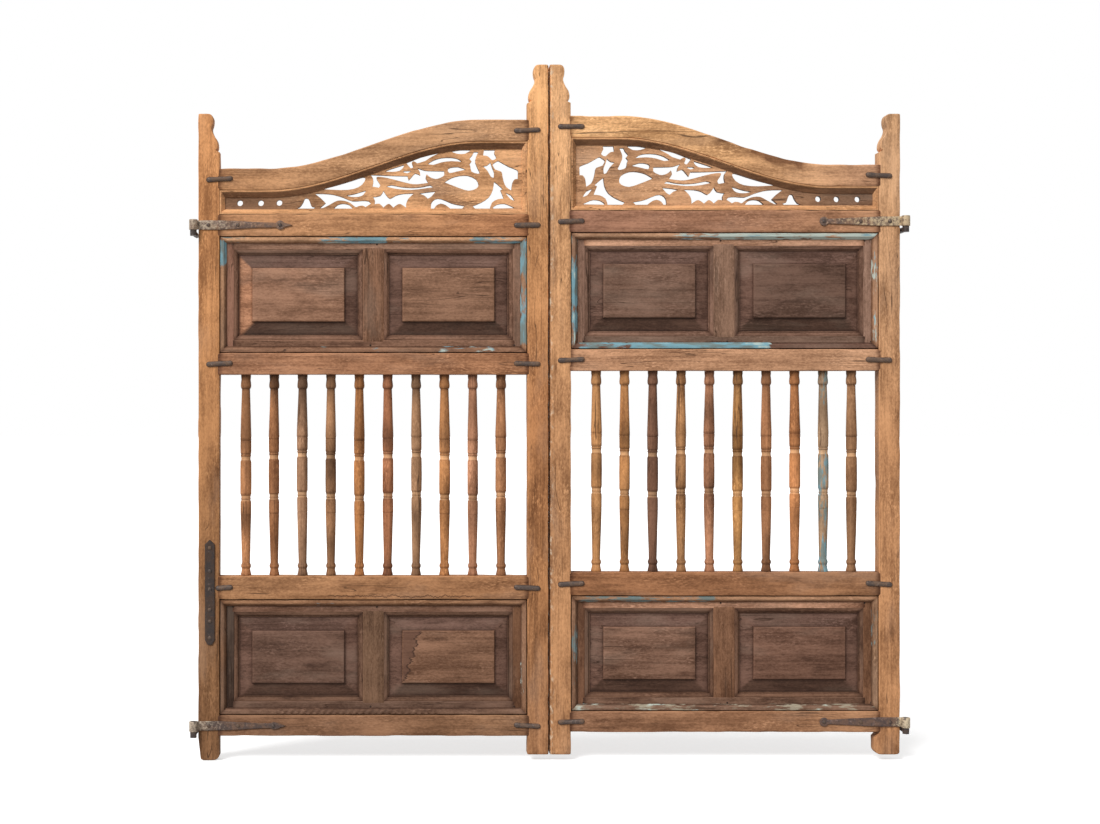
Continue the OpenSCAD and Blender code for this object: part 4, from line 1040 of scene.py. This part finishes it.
# Iron
def strap_outline(side, level, t, length, t_hinge):
    """Half height of a strap at a distance t from its pin: tapered band, then round or pointed end."""
    point = STRAP_TIP if side == "left" else 0.0
    r = STRAP_END_R
    neck = length - point - 2 * r
    wide, narrow = STRAP_H / 2 - 1 * MM, STRAP_NECK_H / 2
    band = np.interp(t, [0, t_hinge, neck, neck + r], [wide, wide, narrow, narrow], right=0)
    if side == "left" and level == "lower":
        stops = [neck - 2 * MM, neck + r, neck + 2 * r, length]
        tip = np.interp(t, stops, [r / 3, r - 2 * MM, r - 4 * MM, 0], left=0)
    else:
        tip = np.sqrt(np.maximum(r * r - (t - neck - r) ** 2, 0))
        if point:
            stops = [neck + r, length - point, length - point / 2, length]
            tip = np.maximum(tip, np.interp(t, stops, [r / 2, r / 2, r / 3, 0], left=0))
    return np.maximum(np.maximum(band, tip), POINT_HALF)


def strap(side, level, seed, material):
    """Hammered strap with a rolled eye round the pin."""
    node = f"{side}_{level}_strap"
    lo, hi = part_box(node)
    tint = STRAP_TINTS[side, level]
    tip, x_end = seam_reach((lo, hi))
    x_pin = x_end - EYE_R
    z = (lo.z + hi.z) / 2
    x = np.linspace(tip, x_pin, ALONG_STEPS)
    half = strap_outline(side, level, x_pin - x, x_pin - tip, x_pin - leaf_sides(side)[1])
    y_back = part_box(f"{side}_hinge_stile")[0].y
    band = board("x", x, z - half, z + half, y_back - STRAP_THICK, y_back, seed, [tint], *STRAP_WEAR,
                 wear_cell=0.012)
    y_pin = lo.y + EYE_R
    corner = np.radians(np.linspace(0, 90, 4))
    ease = EYE_ROUND
    r_mid, r_half = (EYE_R + EYE_BORE_R) / 2, (EYE_R - EYE_BORE_R) / 2
    quarter = np.radians([0, 90, 180, 270])[:, None]
    side_r, side_z = np.array([[1, -1, -1, 1], [1, 1, -1, -1]])[:, :, None]
    loop_r = (r_mid + side_r * (r_half - ease) + ease * np.cos(corner + quarter)).ravel()
    loop_z = (side_z * (STRAP_H / 2 - ease) + ease * np.sin(corner + quarter)).ravel()
    turn = full_turn(40)[:, None]
    places = joined(loop_z + z, EYE_GRAIN_R * np.cos(turn) + loop_r, EYE_GRAIN_R * np.sin(turn))
    dent = EYE_DENT * waves(places, 0.01, 0.01, seed + 7) * (loop_r > r_mid)
    r = loop_r - dent
    rings = joined(x_pin + r * np.cos(turn), y_pin + r * np.sin(turn), loop_z + z)
    eye = part(rings, places, seed, colour(*tint), closed=True)
    make_piece(f"{node}_forged", [band, eye], side, material, "forged_iron", node, smooth_deg=50)


def staple(x_mid, z, length, y, seed):
    """Hammered staple: a round bar with round ends, half sunk in the wood."""
    reach = length / 2 - STAPLE_R
    s = length / 2 * np.sin(np.radians(np.linspace(-88, 88, 36)))
    beyond = np.clip(abs(s) - reach, 0, None)
    r = np.sqrt(np.maximum(STAPLE_R ** 2 - beyond ** 2, (0.6 * MM) ** 2))[:, None]
    turn = np.radians(np.linspace(-100, 100, 15))
    across = np.concatenate([np.sin(turn), [0.6, -0.6]])
    rise = np.concatenate([np.cos(turn), [-0.3, -0.3]])
    along = x_mid + s[:, None]
    places = joined(along, z + r * across, y - r * rise)
    dent = 1 - 0.1 * waves(places, 0.014, 0.008, seed)
    waist = 1 - 0.1 * np.cos(np.clip(s / reach, -1, 1) * np.pi / 2)[:, None] * (seed % 2)
    bend = STAPLE_BEND * np.sin(seed * 1.9) * (s[:, None] / reach)
    depth = y + 0.2 * STAPLE_R - r * rise * dent * 0.98
    rings = joined(along, depth, z + bend + r * across * dent * waist)
    return part(rings, places, seed, colour(*STAPLE_TINT))


def staples(side, seed):
    """Staples over the joints of the rails with both stiles."""
    x_meeting, x_hinge = leaf_sides(side)
    names = ("bottom_rail", "lower_rail", "middle_rail", "frieze_rail")
    rails = [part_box(f"{side}_{name}") for name in names]
    mids = [(lo.z + hi.z) / 2 for lo, hi in rails]
    y = rails[0][0].y
    top_lo, top_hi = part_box(f"{side}_top_rail")
    seats = [(x_meeting, z, STAPLE_L) for z in [*mids, top_hi.z - TOP_RAIL_H / 2]]
    seats += [(x_hinge, z, STAPLE_L) for z in (mids[2], top_lo.z + TOP_RAIL_H / 2)]
    if side == "left":
        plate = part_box("left_repair_plate")
        seats.append((abs(plate[1].x) - 1 * MM - SHORT_STAPLE_L / 2, mids[1], SHORT_STAPLE_L))
    else:
        seats.append((x_hinge, mids[1], STAPLE_L))
    parts = [staple(x, z, length, y, seed + 3 * k) for k, (x, z, length) in enumerate(seats)]
    make_piece(f"{side}_staples_forged", parts, side, FORGED_IRON, "forged_iron", f"{side}_staples",
               smooth_deg=60)


def repair_plate(seed):
    """Iron plate with a pointed top and cut foot corners over the left hinge stile's mend."""
    lo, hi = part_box("left_repair_plate")
    middle, half = abs(lo.x + hi.x) / 2, (hi.x - lo.x) / 2
    stops = [lo.z, lo.z + PLATE_POINT, hi.z - PLATE_POINT, hi.z]
    heights = np.unique(np.concatenate([np.linspace(lo.z, hi.z, 90), stops[1:3]]))
    width = np.interp(heights, stops, [PLATE_FOOT_W / 2, half, half, POINT_HALF])
    plate = board("z", heights, middle - width, middle + width, lo.y, hi.y, seed, [PLATE_TINT], *PLATE_WEAR,
                  wear_cell=0.014)
    make_piece("left_repair_plate_forged", [plate], "left", FORGED_IRON, "forged_iron", "left_repair_plate",
               smooth_deg=50)


def keep_node(node, material):
    """A CAD node that stays as it is, in its finished material."""
    mesh = NODES[node].data
    if len(mesh.materials):
        mesh.materials[0] = material
    else:
        mesh.materials.append(material)


def iron_work():
    for k, ((side, level), lime) in enumerate(STRAP_LIME.items()):
        strap(side, level, 301 + 9 * k, iron(f"iron_limed_{side}_{level}", lime=lime))
    for k, side in enumerate(SIGN):
        staples(side, 401 + 50 * k)
        keep_node(f"{side}_nails", NAIL_IRON)
    repair_plate(501)
    keep_node("wall_pintles", PINTLE_IRON)


def spindles(side, seed):
    for i, tint in enumerate(SPINDLE_TINTS[side], 1):
        node = f"{side}_spindle_{i}"
        paint = SPINDLE_PAINT if node == PAINTED_SPINDLE else 0.0
        one = turned_spindle(node, seed + 7 * i, tint, paint)
        make_piece(f"{node}_turning", [one], side, TURNED_WOOD, "turned_wood", node, smooth_deg=30)


for number, leaf in enumerate(SIGN):
    rails_and_stiles(leaf, 11 + 100 * number)
    panel_section(leaf, "upper", 601 + 200 * number)
    panel_section(leaf, "lower", 701 + 200 * number)
    spindles(leaf, 1001 + 100 * number)
    keep_node(f"{leaf}_fretwork", fret_wood(f"fret_wood_{leaf}", leaf))
    keep_node(f"{leaf}_fretwork_bead", BEAD_WOOD)
iron_work()


# Camera: level and square on, a little left of the middle, with its view shifted back to the middle
VIEW_W = 2.86
CAMERA = np.array([-0.378, -4.62, 0.906])
VIEW_CENTRE_X = 0.002
FRONT_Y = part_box("left_bottom_rail")[0].y


def add_camera():
    data = bpy.data.cameras.new("front_camera")
    data.sensor_width = 36.0
    data.lens = data.sensor_width * (FRONT_Y - CAMERA[1]) / VIEW_W
    data.shift_x = (VIEW_CENTRE_X - CAMERA[0]) / VIEW_W
    camera = add_object("front_camera", data)
    camera.location = CAMERA
    camera.rotation_euler = (np.pi / 2, 0, 0)
    bpy.context.scene.camera = camera


# Light and floor
ROOM_LEVEL = 0.42
LIGHT_LEVEL = 3.1
LIGHT_SPREAD_DEG = 28.0
LIGHT_FROM = (-0.45, -0.6, 0.66)
FLOOR_REACH = 60.0
FLOOR_DROP = 1 * MM
FLOOR_GLOW = 0.56
FLOOR_BOUNCE = 0.35
FLOOR_WHITE = 0.8
WHITE = (1, 1, 1, 1)


def seen_rays(tree):
    """1 for rays that come from the camera, a reflection or a clear surface, and 0 for the rest."""
    camera_ray = put(tree, "LightPath", {}, "Is Camera Ray")
    seen = camera_ray.calc("MAXIMUM", camera_ray.beside("Is Glossy Ray"))
    return seen.calc("MAXIMUM", camera_ray.beside("Is Transmission Ray"))


def add_light():
    """White room for the camera, a dim even light for the gate, and a broad light from the upper left."""
    world = bpy.data.worlds.new("studio")
    bpy.context.scene.world = world
    world.use_nodes = True
    tree = world.node_tree
    background = next(n for n in tree.nodes if n.type == "BACKGROUND")
    feed(background, {"Strength": seen_rays(tree) * (1.0 - ROOM_LEVEL) + ROOM_LEVEL, "Color": WHITE})
    data = bpy.data.lights.new("broad_light", "SUN")
    data.energy = LIGHT_LEVEL
    data.angle = np.radians(LIGHT_SPREAD_DEG)
    lamp = add_object("broad_light", data)
    along = -np.array(LIGHT_FROM)
    tilt = np.arctan2(np.hypot(along[0], along[1]), -along[2])
    lamp.rotation_euler = (tilt, 0, np.arctan2(-along[0], along[1]))


def add_floor():
    """White floor just under the lowest foot: it shows the gate's shadow, and is white elsewhere."""
    z = CAD_BOX[0].z - FLOOR_DROP
    reach = FLOOR_REACH
    corners = [(-reach, -reach, z), (reach, -reach, z), (reach, reach, z), (-reach, reach, z)]
    mesh = bpy.data.meshes.new("floor")
    mesh.from_pydata(corners, [], [(0, 1, 2, 3)])
    material, tree, shader = new_material("floor_white")
    seen = seen_rays(tree)
    shade = seen.mix((*[FLOOR_BOUNCE] * 3, 1), (*[FLOOR_WHITE] * 3, 1))
    feed(shader, {"Base Color": shade, "Roughness": 0.9, "Specular IOR Level": 0.0, "Emission Color": WHITE,
                  "Emission Strength": seen * FLOOR_GLOW})
    mesh.materials.append(material)
    floor = add_object("floor", mesh)


add_camera()
add_light()
add_floor()
bpy.context.scene.view_settings.view_transform = "Standard"
